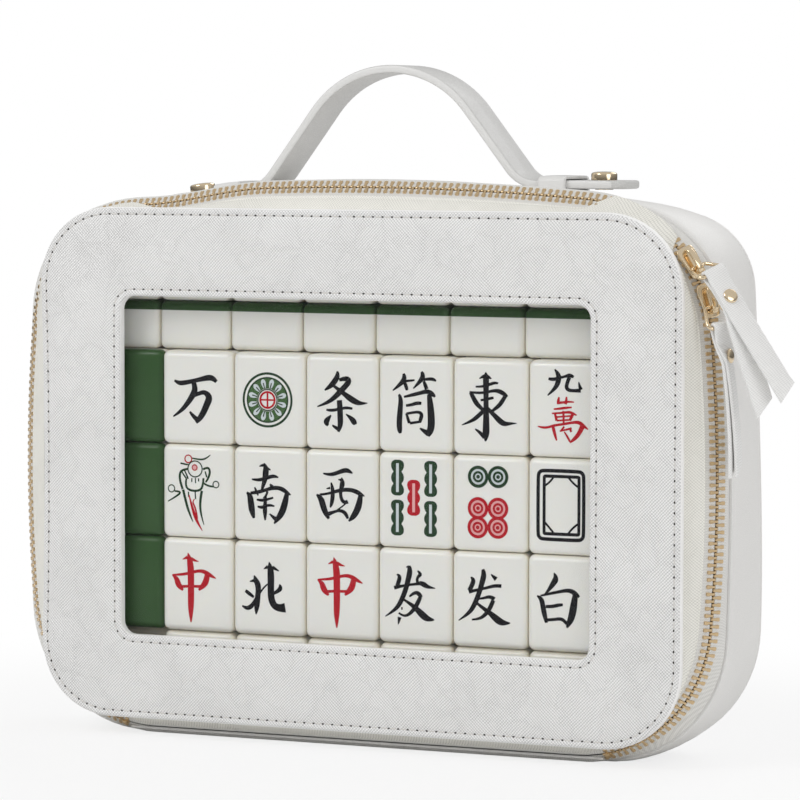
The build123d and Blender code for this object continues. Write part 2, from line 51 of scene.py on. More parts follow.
def lamp(name, place, size, watts):
    """Soft round lamp that looks at the middle of the case."""
    bpy.ops.object.light_add(type="AREA", location=place)
    light = bpy.context.object
    light.name = name
    light.data.shape = "DISK"
    light.data.size = size
    light.data.energy = watts
    aim = Vector((0.0, 0.0, 0.13)) - Vector(place)
    light.rotation_euler = aim.to_track_quat("-Z", "Y").to_euler()


def add_node(tree, kind, **sockets):
    """Adds a node to a shader tree and sets or links its named inputs."""
    node = tree.nodes.new(kind)
    for name, value in sockets.items():
        feed(tree, node.inputs[name.replace("_", " ")], value)
    return node


def feed(tree, socket, value):
    """Links another node's output to a socket, or sets it to a plain value."""
    if isinstance(value, bpy.types.NodeSocket):
        tree.links.new(value, socket)
    else:
        socket.default_value = value


def maths(tree, operation, *values):
    """One maths node; its result can be another's input."""
    node = tree.nodes.new("ShaderNodeMath")
    node.operation = operation
    for socket, value in zip(node.inputs, values):
        feed(tree, socket, value)
    return node.outputs[0]


def mix_shaders(tree, share, first, second):
    """The first shader, with this share of the second."""
    node = tree.nodes.new("ShaderNodeMixShader")
    for socket, source in zip(node.inputs, (share, first, second)):
        tree.links.new(source, socket)
    return node.outputs[0]


def principled(name, color, roughness, metallic=0.0, coat=0.0, sheen=0.0, subsurface=0.0):
    """A plain material: one Principled shader with even values."""
    material = bpy.data.materials.new(name)
    material.use_nodes = True
    shader = material.node_tree.nodes["Principled BSDF"]
    values = {"Base Color": (*color, 1.0), "Roughness": roughness, "Metallic": metallic,
              "Coat Weight": coat, "Sheen Weight": sheen, "Subsurface Weight": subsurface,
              "Subsurface Scale": 0.002}
    for socket, value in values.items():
        shader.inputs[socket].default_value = value
    return material


lamp("window_light", (-1.0, -1.5, 1.6), 1.1, 14.0)
lamp("fill_light", (1.7, -0.9, 0.8), 1.2, 6.0)
lamp("back_light", (0.4, 1.5, 1.3), 1.0, 6.0)

# The room is plain white to the eye. What shines on metal is dimmer near the horizon.
white, daylight = (1.0, 1.0, 1.0, 1.0), 0.6
world = bpy.data.worlds.new("daylight")
world.use_nodes = True
bpy.context.scene.world = world
tree = world.node_tree
tree.nodes.clear()
path = add_node(tree, "ShaderNodeLightPath").outputs
seen = maths(tree, "MAXIMUM", path["Is Camera Ray"], path["Is Transmission Ray"])
direction = add_node(tree, "ShaderNodeTexCoord").outputs["Generated"]
toward = add_node(tree, "ShaderNodeSeparateXYZ", Vector=direction).outputs["Z"]
dimming = add_node(tree, "ShaderNodeMapRange", Value=toward, From_Min=-0.05, From_Max=0.5,
                   To_Min=-0.9, To_Max=0.0).outputs[0]
level = maths(tree, "MULTIPLY_ADD", dimming, path["Is Glossy Ray"], 1.0)
strength = maths(tree, "MULTIPLY", level, daylight)
room = add_node(tree, "ShaderNodeBackground", Color=white, Strength=strength)
backdrop = add_node(tree, "ShaderNodeBackground", Color=white)
mixed = mix_shaders(tree, seen, room.outputs[0], backdrop.outputs[0])
add_node(tree, "ShaderNodeOutputWorld", Surface=mixed)

bpy.ops.mesh.primitive_plane_add(size=12.0, location=(0.0, 0.0, -0.0002))
table = bpy.context.object
table.name = "table"
bpy.ops.object.transform_apply(location=True, rotation=True, scale=True)
paper = principled("white_table", (0.88, 0.88, 0.88), 0.8)
tree = paper.node_tree
glow = add_node(tree, "ShaderNodeEmission")
path = add_node(tree, "ShaderNodeLightPath").outputs
away = tree.nodes.new("ShaderNodeVectorMath")
away.operation = "LENGTH"
tree.links.new(add_node(tree, "ShaderNodeTexCoord").outputs["Object"], away.inputs[0])
fade = add_node(tree, "ShaderNodeMapRange", Value=away.outputs["Value"], From_Min=0.16,
                From_Max=0.42, To_Min=0.78, To_Max=1.0)
fade.interpolation_type = "SMOOTHSTEP"
share = maths(tree, "MULTIPLY", path["Is Camera Ray"], fade.outputs[0])
mixed = mix_shaders(tree, share, tree.nodes["Principled BSDF"].outputs[0], glow.outputs[0])
tree.links.new(mixed, tree.nodes["Material Output"].inputs["Surface"])
table.data.materials.append(paper)

eye, looked_at = Vector((0.73243, -1.62303, 0.26860)), Vector((0.02402, -0.0320, 0.15226))
roll = 0.0021  # radians
bpy.ops.object.camera_add(location=eye)
camera = bpy.context.object
camera.data.lens = 184.45
camera.data.sensor_width = 36.0
turn = (looked_at - eye).to_track_quat("-Z", "Y")
camera.rotation_euler = (turn @ Euler((0.0, 0.0, roll)).to_quaternion()).to_euler()
bpy.context.scene.camera = camera
bpy.context.scene.view_settings.view_transform = "Standard"


# ---- Front panel -----------------------------------------------------------------------
# Board covered in off-white leather, pressed with a fine crossed grain. The leather is
# turned over the edges and sewn down along the rim and round the window.

MM = 0.001
half_depth = 32.0  # of the case, in millimetres; depths are counted from its front
panel = dict(half_width=151.5, top=233.0, base=8.0, top_radius=35.0, base_radius=35.0)
window = dict(half_width=110.6, top=194.2, base=44.9, top_radius=6.0, base_radius=6.0)


def circle_through(a, b, c):
    """Centre and radius of the circle through three points."""
    d = 2 * (a[0] * (b[1] - c[1]) + b[0] * (c[1] - a[1]) + c[0] * (a[1] - b[1]))
    sa, sb, sc = (p[0] ** 2 + p[1] ** 2 for p in (a, b, c))
    x = (sa * (b[1] - c[1]) + sb * (c[1] - a[1]) + sc * (a[1] - b[1])) / d
    z = (sa * (c[0] - b[0]) + sb * (a[0] - c[0]) + sc * (b[0] - a[0])) / d
    return Vector((x, z)), hypot(a[0] - x, a[1] - z)


def arc(centre, radius, a, b, count):
    """Points on the shorter arc from a towards b, with b left out."""
    start = atan2(a[1] - centre[1], a[0] - centre[0])
    sweep = atan2(b[1] - centre[1], b[0] - centre[0]) - start
    sweep = (sweep + pi) % (2 * pi) - pi
    angles = [start + sweep * k / count for k in range(count)]
    return [(centre[0] + radius * cos(t), centre[1] + radius * sin(t)) for t in angles]


def outline(half_width, top, base, top_radius, base_radius, side_bow=0.02, top_bow=0.02,
            grow=0.0):
    """Rounded outline with bowed sides and top: 192 points, clockwise from the top middle."""
    long_steps = 24  # along a side, or half the top
    short_steps = 16  # round a corner, or along half the base
    half_width, top, base = half_width + grow, top + grow, base - grow
    top_radius, base_radius = top_radius + grow, base_radius + grow
    foot, shoulder = half_width - side_bow, top - top_bow
    side, side_radius = circle_through(
        (foot, base), (half_width, (top + base) / 2), (foot, shoulder))
    crown, crown_radius = circle_through((-foot, shoulder), (0, top), (foot, shoulder))
    rise = base + base_radius
    inside = sqrt((side_radius - base_radius) ** 2 - (rise - side.y) ** 2)
    low = Vector((side.x + inside, rise))
    # The top corner touches both circles, so its middle is where two smaller ones cross.
    r1, r2 = side_radius - top_radius, crown_radius - top_radius
    gap = crown - side
    along = (r1 ** 2 - r2 ** 2 + gap.length_squared) / (2 * gap.length)
    across = sqrt(max(r1 ** 2 - along ** 2, 0.0))
    unit = gap.normalized()
    middles = [side + unit * along + Vector((-unit.y, unit.x)) * s * across for s in (1, -1)]
    high = max(middles, key=lambda p: p.x + p.y)
    crown_end = crown + (high - crown).normalized() * crown_radius
    side_start = side + (high - side).normalized() * side_radius
    side_end = side + (low - side).normalized() * side_radius
    right = arc(crown, crown_radius, (0, top), crown_end, long_steps)
    right += arc(high, top_radius, crown_end, side_start, short_steps)
    right += arc(side, side_radius, side_start, side_end, long_steps)
    right += arc(low, base_radius, side_end, (low.x, base), short_steps)
    right += [(low.x * (1 - k / short_steps), base) for k in range(short_steps)]
    return right + [(0.0, base)] + [(-x, z) for x, z in reversed(right[1:])]


def between(a, b, t):
    """Outline part of the way from one outline to another."""
    return [(p[0] + (q[0] - p[0]) * t, p[1] + (q[1] - p[1]) * t) for p, q in zip(a, b)]


def at_depth(points, depth):
    """Outline placed this many millimetres behind the front of the case."""
    return [(x, depth - half_depth, z) for x, z in points]


def rims(shape, steps):
    """One loop for each (grow, depth) of an outline."""
    return [at_depth(outline(**shape, grow=grow), depth) for grow, depth in steps]


def only(*pieces):
    """Selects these pieces and nothing else, the first one active."""
    bpy.ops.object.select_all(action="DESELECT")
    for piece in pieces:
        piece.select_set(True)
    if pieces:
        bpy.context.view_layer.objects.active = pieces[0]


def edit_all():
    """Goes into edit mode with the whole mesh selected."""
    bpy.ops.object.mode_set(mode="EDIT")
    bpy.ops.mesh.select_all(action="SELECT")


def dress(piece, material, body, slot, *nodes, angle=40.0):
    """Smooths a finished piece, gives it its material and puts it on its moving body."""
    only(piece)
    edit_all()
    bpy.ops.mesh.normals_make_consistent(inside=False)
    bpy.ops.object.mode_set(mode="OBJECT")
    bpy.ops.object.shade_smooth_by_angle(angle=radians(angle))
    if material:
        piece.data.materials.clear()
        piece.data.materials.append(material)
    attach(piece, body)
    if nodes:
        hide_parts(*nodes)
    return piece


def skin(name, loops, closed=False):
    """Skin through loops of points in millimetres: a closed ring, or a solid with flat ends."""
    count = len(loops[0])
    rows = loops + loops[:1] if closed else loops
    only()
    bpy.ops.mesh.primitive_circle_add(vertices=count)
    piece = bpy.context.object
    piece.name = piece.data.name = name
    edit_all()
    for _ in rows[1:]:
        bpy.ops.mesh.extrude_edges_move()
    bpy.ops.object.mode_set(mode="OBJECT")
    flat = [value * MM for row in rows for point in row for value in point]
    piece.data.vertices.foreach_set("co", flat)
    edit_all()
    bpy.ops.mesh.remove_doubles(threshold=1e-7)
    if not closed:
        bpy.ops.mesh.select_all(action="DESELECT")
        bpy.ops.mesh.select_mode(type="EDGE")
        bpy.ops.mesh.select_non_manifold()
        bpy.ops.mesh.edge_face_add()
    bpy.ops.object.mode_set(mode="OBJECT")
    return piece


def shader_group(name, *outputs):
    """An empty node group that puts out Color or Height, and its object coordinates in metres."""
    kinds = {"Color": "NodeSocketColor", "Height": "NodeSocketFloat"}
    tree = bpy.data.node_groups.new(name, "ShaderNodeTree")
    for label in outputs:
        tree.interface.new_socket(label, in_out="OUTPUT", socket_type=kinds[label])
    end = tree.nodes.new("NodeGroupOutput")
    place = tree.nodes.new("ShaderNodeTexCoord").outputs["Object"]
    return tree, end, place


def textured(material, group, depth=0.0, **targets):
    """Feeds a group's outputs into the shader; its Height, when there is one, becomes relief."""
    tree = material.node_tree
    shader = tree.nodes["Principled BSDF"]
    node = tree.nodes.new("ShaderNodeGroup")
    node.node_tree = group
    for output, target in targets.items():
        tree.links.new(node.outputs[output], shader.inputs[target.replace("_", " ")])
    if depth:
        bump = tree.nodes.new("ShaderNodeBump")
        bump.inputs["Distance"].default_value = depth * MM
        tree.links.new(node.outputs["Height"], bump.inputs["Height"])
        tree.links.new(bump.outputs[0], shader.inputs["Normal"])
    return material


def noise(tree, place, scale):
    """Soft random value from 0 to 1, in this many waves a metre."""
    node = add_node(tree, "ShaderNodeTexNoise", Vector=place, Scale=scale, Detail=2.0)
    return node.outputs["Fac"]


def tint(tree, dark, light, share):
    """Colour between two others."""
    node = tree.nodes.new("ShaderNodeMix")
    node.data_type = "RGBA"
    for name, color in (("A", dark), ("B", light)):
        feed(tree, node.inputs[name], (*color, 1.0) if isinstance(color, tuple) else color)
    tree.links.new(share, node.inputs["Factor"])
    return node.outputs["Result"]


def crossed_grain(pitch, light, dark, plain_from=1000.0):
    """Fine lines pressed both ways on the slant, uneven and darker in the lines.

    Behind the depth Y = plain_from, in millimetres, the leather is stretched smooth.
    """
    tree, end, place = shader_group("crossed_grain", "Color", "Height")
    axes = add_node(tree, "ShaderNodeSeparateXYZ", Vector=place).outputs
    waver = maths(tree, "MULTIPLY", noise(tree, place, 300.0), 2.2)
    drift = maths(tree, "SUBTRACT", noise(tree, place, 60.0), 0.5)
    one_way = maths(tree, "MULTIPLY_ADD", drift, 7.0, 0.5)
    other_way = maths(tree, "SUBTRACT", 1.0, one_way)
    lines = []
    for sign, fades in (("ADD", one_way), ("SUBTRACT", other_way)):
        slant = maths(tree, sign, axes["X"], axes["Z"])
        turns = maths(tree, "MULTIPLY_ADD", slant, pi / (pitch * MM * sqrt(2)), waver)
        line = maths(tree, "POWER", maths(tree, "ABSOLUTE", maths(tree, "SINE", turns)), 0.3)
        line = maths(tree, "MAXIMUM", line, maths(tree, "MINIMUM", fades, 0.8))
        worn = maths(tree, "MULTIPLY_ADD", noise(tree, place, 800.0), 1.5, -0.35)
        lines.append(maths(tree, "MAXIMUM", line, worn))
    plain = maths(tree, "GREATER_THAN", axes["Y"], plain_from * MM)
    height = maths(tree, "MAXIMUM", maths(tree, "MULTIPLY", *lines), plain)
    rough = maths(tree, "MULTIPLY_ADD", noise(tree, place, 900.0), 0.35, height)
    even = maths(tree, "MULTIPLY", height, 0.92)
    patch = maths(tree, "MULTIPLY_ADD", noise(tree, place, 40.0), 0.15, even)
    tree.links.new(tint(tree, dark, light, patch), end.inputs["Color"])
    tree.links.new(rough, end.inputs["Height"])
    return tree


def pebble_grain(name, size, light, dark):
    """Small rounded pebbles of natural leather."""
    tree, end, place = shader_group(name, "Color", "Height")
    cells = tree.nodes.new("ShaderNodeTexVoronoi")
    cells.feature = "DISTANCE_TO_EDGE"
    feed(tree, cells.inputs["Vector"], place)
    feed(tree, cells.inputs["Scale"], 1.0 / (size * MM))
    edge = maths(tree, "MINIMUM", maths(tree, "MULTIPLY", cells.outputs["Distance"], 3.0), 1.0)
    height = maths(tree, "MULTIPLY_ADD", noise(tree, place, 700.0), 0.5, edge)
    even = maths(tree, "MULTIPLY", edge, 0.6)
    share = maths(tree, "MULTIPLY_ADD", noise(tree, place, 30.0), 0.4, even)
    tree.links.new(tint(tree, dark, light, share), end.inputs["Color"])
    tree.links.new(height, end.inputs["Height"])
    return tree


grained = textured(principled("grained_leather", (0.8, 0.8, 0.8), 0.52, coat=0.05),
                   crossed_grain(1.0, (0.98, 0.975, 0.965), (0.15, 0.149, 0.146), -31.5),
                   depth=0.12, Color="Base_Color")
leather = textured(principled("smooth_leather", (0.8, 0.8, 0.8), 0.5, coat=0.05),
                   pebble_grain("fine_pebble", 0.8, (0.86, 0.85, 0.83), (0.78, 0.77, 0.75)),
                   depth=0.03, Color="Base_Color")


def slack(loop):
    """The panel's left edge sinks in a little at mid-height."""
    sink, start, edge = 2.4, 100.0, 151.5
    middle, half_height = 120.5, 112.5
    bent = []
    for x, y, z in loop:
        rise = 1 - ((z - middle) / half_height) ** 2
        pull = sink * max(0.0, -(x + start) / (edge - start)) ** 2 * max(rise, 0.0)
        bent.append((x + pull, y, z))
    return bent


# Each step is (grow, depth): over a turned edge, along a row of stitches and up to the leather.
window_steps = [(0.0, 4.2), (0.0, 1.3), (0.15, 0.6), (0.6, 0.12), (1.3, 0.0), (2.2, 0.05),
                (2.7, 0.2), (3.0, 0.3), (3.3, 0.2), (3.9, 0.0), (6.0, -0.35)]
rim_steps = [(-6.0, -0.35), (-4.0, 0.0), (-3.35, 0.2), (-3.0, 0.3), (-2.65, 0.2), (-2.0, 0.0),
             (-1.3, 0.02), (-0.7, 0.2), (-0.2, 0.7), (0.0, 1.5), (0.0, 3.3), (-0.4, 4.2)]
near, far = outline(**window, grow=6.0), outline(**panel, grow=-6.0)
padding = [(0.25, -0.62), (0.5, -0.75), (0.75, -0.62)]
loops = rims(window, window_steps)
loops += [at_depth(between(near, far, t), depth) for t, depth in padding]
loops += [slack(loop) for loop in rims(panel, rim_steps)]
front_panel = skin("front_panel", loops, closed=True)
dress(front_panel, grained, "lid", "grained_leather", "lid_front_panel")


def walk(points, pitch=1.0, count=0):
    """Evenly spaced places round a closed outline: x, z and the unit direction of travel."""
    ends = points[1:] + points[:1]
    lengths = [hypot(b[0] - a[0], b[1] - a[1]) for a, b in zip(points, ends)]
    count = count or round(sum(lengths) / pitch)
    step = sum(lengths) / count
    places, passed, index = [], 0.0, 0
    for k in range(count):
        while passed + lengths[index] < k * step:
            passed += lengths[index]
            index += 1
        a, b = points[index], ends[index]
        t = (k * step - passed) / lengths[index]
        way = ((b[0] - a[0]) / lengths[index], (b[1] - a[1]) / lengths[index])
        places.append((a[0] + (b[0] - a[0]) * t, a[1] + (b[1] - a[1]) * t, *way))
    return places


def repeat(name, seed, places):
    """Copies of a modelled seed, each with its own mesh, joined at their places."""
    work = bmesh.new()
    for place in places:
        copied = seed.data.copy()
        copied.transform(place)
        work.from_mesh(copied)
        bpy.data.meshes.remove(copied)
    mesh = bpy.data.meshes.new(name)
    work.to_mesh(mesh)
    work.free()
    piece = bpy.data.objects.new(name, mesh)
    bpy.context.collection.objects.link(piece)
    for material in seed.data.materials:
        mesh.materials.append(material)
    return piece


def facing_place(x, depth, z, turn=0.0):
    """Local X along the direction turned to in the panel's plane, local Z to the viewer."""
    c, s = cos(turn), sin(turn)
    rows = ((c, -s, 0.0, x), (0.0, 0.0, -1.0, depth - half_depth), (s, c, 0.0, z))
    return Matrix([[*row[:3], row[3] * MM] for row in rows] + [[0, 0, 0, 1]])


def drop(*objects):
    """Removes seeds that have been copied."""
    for used in objects:
        bpy.data.objects.remove(used)


# ---- Panel stitching -------------------------------------------------------------------
# Off-white waxed thread in two rows, one round the window and one round the rim. The
# shade in the needle holes between its stitches is painted on as dark dots.

def bead(name, length, width, height):
    """Low rounded bead, flattened from a sphere."""
    only()
    bpy.ops.mesh.primitive_uv_sphere_add(segments=8, ring_count=4, radius=0.5)
    seed = bpy.context.object
    seed.name = name
    edit_all()
    bpy.ops.transform.resize(value=(length * MM, width * MM, height * MM))
    bpy.ops.object.mode_set(mode="OBJECT")
    return seed


thread = principled("waxed_thread", (0.72, 0.70, 0.67), 0.6)
# Painted shade: this near-black colour stands in for the shade inside the needle holes.
hole_shade_paint = principled("painted_hole_shade", (0.05, 0.045, 0.04), 0.8)
seam_depth = 0.22
stitch_places, hole_places = [], []
for shape, grow, pitch in ((window, 3.0, 4.5), (panel, -3.0, 4.45)):
    dense = walk(outline(**shape, grow=grow), pitch / 2)
    dense = dense[:len(dense) // 2 * 2]
    for k, (x, z, dx, dz) in enumerate(dense):
        if shape is panel:
            x = slack([(x, 0.0, z)])[0][0]
        places = hole_places if k % 2 else stitch_places
        places.append(facing_place(x, seam_depth, z, atan2(dz, dx)))
stitch_seed = bead("stitch_seed", 3.2, 0.6, 0.5)
dress(repeat("panel_stitches", stitch_seed, stitch_places), thread, "lid", None, angle=80)
# The dark dots are painted shade: flat beads on the leather, where the holes would be shaded.
hole_shade_seed = bead("hole_shade_seed", 1.15, 0.85, 0.4)
dress(repeat("panel_painted_hole_shade", hole_shade_seed, hole_places), hole_shade_paint, "lid", None, angle=80)
drop(stitch_seed, hole_shade_seed)


# ---- Window and lid lining -------------------------------------------------------------
# Clear flexible film glued behind the panel, under a thin cloth lining that stops just
# short of the window's edge.

def polish(material, **values):
    """Sets further inputs of a material's Principled shader."""
    shader = material.node_tree.nodes["Principled BSDF"]
    for name, value in values.items():
        shader.inputs[name.replace("_", " ")].default_value = value
    return material


film = polish(principled("clear_film", (0.25, 0.25, 0.26), 0.05), Alpha=0.025, IOR=1.5)
loops = rims(window, ((7.6, 4.25), (7.9, 4.5), (7.9, 4.8), (7.6, 4.98)))
dress(skin("window_film", loops), film, "lid", "window_film", "window_pane")


def woven_cloth(name, pitch, light, dark):
    """Plain weave: threads over and under, along X and along the other way."""
    tree, end, place = shader_group(name, "Color", "Height")
    axes = add_node(tree, "ShaderNodeSeparateXYZ", Vector=place).outputs
    over = maths(tree, "ADD", axes["Y"], axes["Z"])
    turns = [maths(tree, "MULTIPLY", way, pi / (pitch * MM)) for way in (axes["X"], over)]
    waves = [maths(tree, "SINE", turn) for turn in turns]
    height = maths(tree, "MULTIPLY_ADD", maths(tree, "MULTIPLY", *waves), 0.5, 0.5)
    tree.links.new(tint(tree, dark, light, height), end.inputs["Color"])
    tree.links.new(height, end.inputs["Height"])
    return tree


lining = textured(principled("lining_cloth", (0.7, 0.7, 0.7), 0.85, sheen=0.2),
                  woven_cloth("lining_weave", 0.5, (0.74, 0.73, 0.71), (0.62, 0.61, 0.59)),
                  depth=0.05, Color="Base_Color")
loops = rims(window, ((8.2, 4.25), (8.2, 5.1), (1.0, 5.1), (1.0, 6.0), (1.5, 6.4)))
loops += rims(panel, ((-9.4, 6.4), (-8.9, 6.0), (-8.9, 4.25)))
dress(skin("lid_lining_cloth", loops, closed=True), lining, "lid", "lining_cloth", "lid_lining")


# ---- Gusset ----------------------------------------------------------------------------
# Soft leather band from the panel's edge out to the zip, with a turned edge. At the top
# right it laps over the chain, as a soft edge does when the zip is drawn round a corner.

chain = dict(half_width=162.5, top=242.3, base=3.0, top_radius=60.0, base_radius=60.0,
             side_bow=9.0, top_bow=9.0)
chain_depth, chain_slant = 13.0, radians(50.0)
slant_out, slant_back = cos(chain_slant), sin(chain_slant)
corner_sink = 4.4


def eased(value, low, high):
    """Rises smoothly from 0 to 1 between two values."""
    t = min(max((value - low) / (high - low), 0.0), 1.0)
    return t * t * (3 - 2 * t)


def settled(x, z):
    """Height of a point once the soft top left corner has sunk under the handle."""
    return (z - corner_sink * eased(-x, 45.0, 100.0) * (1 - eased(-x, 100.0, 150.0))
            * eased(z, 195.0, 236.0))


def band(across, out=0.0):
    """Loop beside the chain: this far across it to the body, and this far out of it."""
    grow = across * slant_out + out * slant_back
    depth = chain_depth + across * slant_back - out * slant_out
    return [(x, y, settled(x, z)) for x, y, z in at_depth(outline(**chain, grow=grow), depth)]


corner_x, corner_z = 99.85, 178.3  # middle of the rounding at the top right
over_right, back_right = 7.4, 6.6  # how far the rim is drawn out and back round that corner,
over_left, back_left = 5.2, 4.8  # round the top left one,
back_low, down_low = 3.8, 2.8  # and back and down along the bottom


def lap(loop, amount):
    """Draws a loop over the chain round the top right corner, and a little elsewhere.

    Round the top left corner it only leans over, and along the bottom it closes on the hinge.
    """
    moved = []
    for x, y, z in loop:
        lean = amount * eased(-x, 90.0, 112.0) * eased(z, 175.0, 205.0)
        low = amount * (1 - eased(abs(x), 104.0, 116.0)) * (1 - eased(z, 20.0, 40.0))
        out = Vector((x + corner_x, z - corner_z)).normalized()
        x, y, z = (x + out.x * over_left * lean, y + back_left * lean + back_low * low,
                   z + out.y * over_left * lean - down_low * low)
        share = 0.0
        if x > corner_x and z > corner_z:
            angle = degrees(atan2(z - corner_z, x - corner_x))
            share = amount * eased(angle, 40.0, 47.0) * (1 - eased(angle, 74.0, 86.0))
        out = Vector((x - corner_x, z - corner_z)).normalized()
        moved.append((x + out.x * over_right * share, y + back_right * share,
                      z + out.y * over_right * share))
    return moved


def blend(a, b, t):
    """Loop part of the way from one loop to another."""
    return [tuple(Vector(p).lerp(Vector(q), t)) for p, q in zip(a, b)]


def across_gusset(t, puff, inset=0.0):
    """Loop part of the way from the panel's edge to the gusset's rim, puffed out or in."""
    edge, rim = 4.25, -5.6
    loop = blend(at_depth(outline(**panel, grow=-0.5 - inset), edge), band(rim, -inset), t)
    grown = blend(at_depth(outline(**panel, grow=0.5), edge), band(rim, 1.0), t)
    return blend(loop, grown, puff)


soft = textured(principled("gusset_leather", (0.8, 0.8, 0.8), 0.5, coat=0.05),
                crossed_grain(0.9, (0.94, 0.925, 0.86), (0.42, 0.41, 0.37)),
                depth=0.05, Color="Base_Color")
# Each step is (way to the rim, puff, lap): out over the band and back along its inside.
gusset_steps = [(0.0, 0.0, 0.0), (0.2, 0.35, 0.0), (0.4, 0.55, 0.0), (0.6, 0.5, 0.15),
                (0.75, 0.3, 0.45), (0.85, 0.1, 0.75), (0.9, 0.3, 0.88), (0.97, 0.45, 0.97),
                (1.0, 0.1, 1.0), (0.99, -0.4, 0.97), (0.85, -0.5, 0.75), (0.7, -0.6, 0.4),
                (0.4, -0.5, 0.0)]
loops = [lap(across_gusset(t, puff), lapped) for t, puff, lapped in gusset_steps]
loops.append(across_gusset(0.1, -0.3, inset=0.6))
dress(skin("gusset_band", loops, closed=True), soft, "lid", "gusset_leather", "lid_gusset")


# ---- Zip -------------------------------------------------------------------------------
# White woven tapes sewn to the lid and the body. Antique-gold metal teeth are clamped on
# their edges and lock between each other round the sides and the top.

tape = textured(principled("zip_tape", (0.8, 0.8, 0.8), 0.85, sheen=0.2),
                woven_cloth("tape_weave", 0.55, (0.86, 0.85, 0.82), (0.66, 0.65, 0.62)),
                depth=0.1, Color="Base_Color")
loops = [band(across, out) for across, out in
         ((-6.3, -0.3), (-0.8, 0.28), (-0.6, 0.0), (-0.8, -0.28), (-6.3, -0.9))]
dress(skin("lid_tape", loops, closed=True), tape, "lid", "zip_tape", "lid_zip_tape")

shell = dict(half_width=167.0, top=245.3, base=0.0, top_radius=54.0, base_radius=56.0,
             side_bow=4.0, top_bow=15.0)
narrowing = dict(half_width=2.5, top=3.0, top_radius=20.0)
shell_front, shell_depth, low_spread = 20.0, 40.0, 2.4


def shell_loop(depth, grow=0.0):
    """Outside of the body at this depth; it narrows a little to the back and sits flat."""
    t = (depth - shell_front) / shell_depth
    at = dict(shell, **{size: shell[size] - less * t for size, less in narrowing.items()})
    spread = low_spread * max(t, 0.0)
    return [(x + spread * eased(x, 100.0, 150.0) * (1 - eased(z, 40.0, 170.0)), y,
             max(settled(x, z), 0.0))
            for x, y, z in at_depth(outline(**at, grow=grow), depth)]


loops = [band(0.6, 0.0), band(0.8, 0.28), band(4.9, 0.28)]
loops += [shell_loop(*step) for step in ((18.9, -1.3), (19.5, -2.1), (20.7, -2.2), (20.6, -2.6))]
loops += [band(4.9, -0.6), band(0.8, -0.28)]
dress(skin("body_tape", loops, closed=True), tape, "case_body", "zip_tape", "body_zip_tape")

zip_metal = principled("antique_gold_teeth", (0.72, 0.54, 0.32), 0.3, metallic=1.0)


def tooth():
    """One tooth: legs clamped on the tape, a narrower waist and a rounded head."""
    only()
    bpy.ops.mesh.primitive_cube_add(size=1.0)
    seed = bpy.context.object
    seed.name = "tooth_seed"
    edit_all()
    bpy.ops.transform.resize(value=(1.5 * MM, 1.3 * MM, 1.8 * MM))
    bpy.ops.transform.translate(value=(0.0, -1.3 * MM, 0.0))
    bpy.ops.mesh.select_all(action="DESELECT")
    bpy.ops.object.mode_set(mode="OBJECT")
    for polygon in seed.data.polygons:
        polygon.select = polygon.normal.y > 0.9
    bpy.ops.object.mode_set(mode="EDIT")
    bpy.ops.mesh.select_mode(type="FACE")
    steps = ((0.7, 0.72, 0.86), (0.7, 1.0, 1.0), (1.0, 1.2, 1.0), (0.4, 0.7, 0.7))
    for reach, wide, high in steps:
        bpy.ops.mesh.extrude_region_move(
            TRANSFORM_OT_translate={"value": (0.0, reach * MM, 0.0)})
        bpy.ops.transform.resize(value=(wide, 1.0, high))
    bpy.ops.mesh.select_all(action="SELECT")
    bpy.ops.object.mode_set(mode="OBJECT")
    rounding = seed.modifiers.new("rounding", "BEVEL")
    rounding.width = 0.16 * MM
    rounding.segments = 1
    rounding.limit_method = "ANGLE"
    rounding.angle_limit = radians(50.0)
    bpy.ops.object.modifier_apply(modifier="rounding")
    return seed


def chain_place(x, z, dx, dz, across=0.0, out=0.0, facing=1):
    """Place beside the chain: X along it and Y across it to the body, or facing the other way."""
    along = Vector((dx, 0.0, dz))
    outward = Vector((-dz, 0.0, dx))
    cross = outward * slant_out + Vector((0.0, slant_back, 0.0))
    normal = outward * slant_back - Vector((0.0, slant_out, 0.0))
    origin = Vector((x, chain_depth - half_depth, z)) + cross * across + normal * out
    columns = [along * facing, cross * facing, normal]
    return Matrix([[*(c[i] for c in columns), origin[i] * MM] for i in range(3)] + [[0, 0, 0, 1]])


# Lid and body teeth take turns along the chain, and none are on the hinge at the bottom.
tooth_seed, tooth_middle, half_pitches = tooth(), 1.6, 662
hinge_half, hinge_top = 113.0, 120.0
rail = walk([(x, settled(x, z)) for x, z in outline(**chain)], count=half_pitches)
lid_teeth, body_teeth = [], []
for k, spot in enumerate(rail):
    if abs(spot[0]) < hinge_half and spot[1] < hinge_top:
        continue
    if k % 2:
        body_teeth.append(chain_place(*spot, across=tooth_middle, facing=-1))
    else:
        lid_teeth.append(chain_place(*spot, across=-tooth_middle))
for side, body, places in (("lid", "lid", lid_teeth), ("body", "case_body", body_teeth)):
    row = repeat(side + "_teeth", tooth_seed, places)
    dress(row, zip_metal, body, "zip_metal", side + "_zip_teeth", angle=30)
drop(tooth_seed)


# ---- Body ------------------------------------------------------------------------------
# Smooth off-white leather over padded board. The side wall bulges a little between its
# turned front edge and the seam of the back panel.

def shell_loops(steps):
    """One loop of the body for each (depth, grow)."""
    return [shell_loop(depth, grow) for depth, grow in steps]


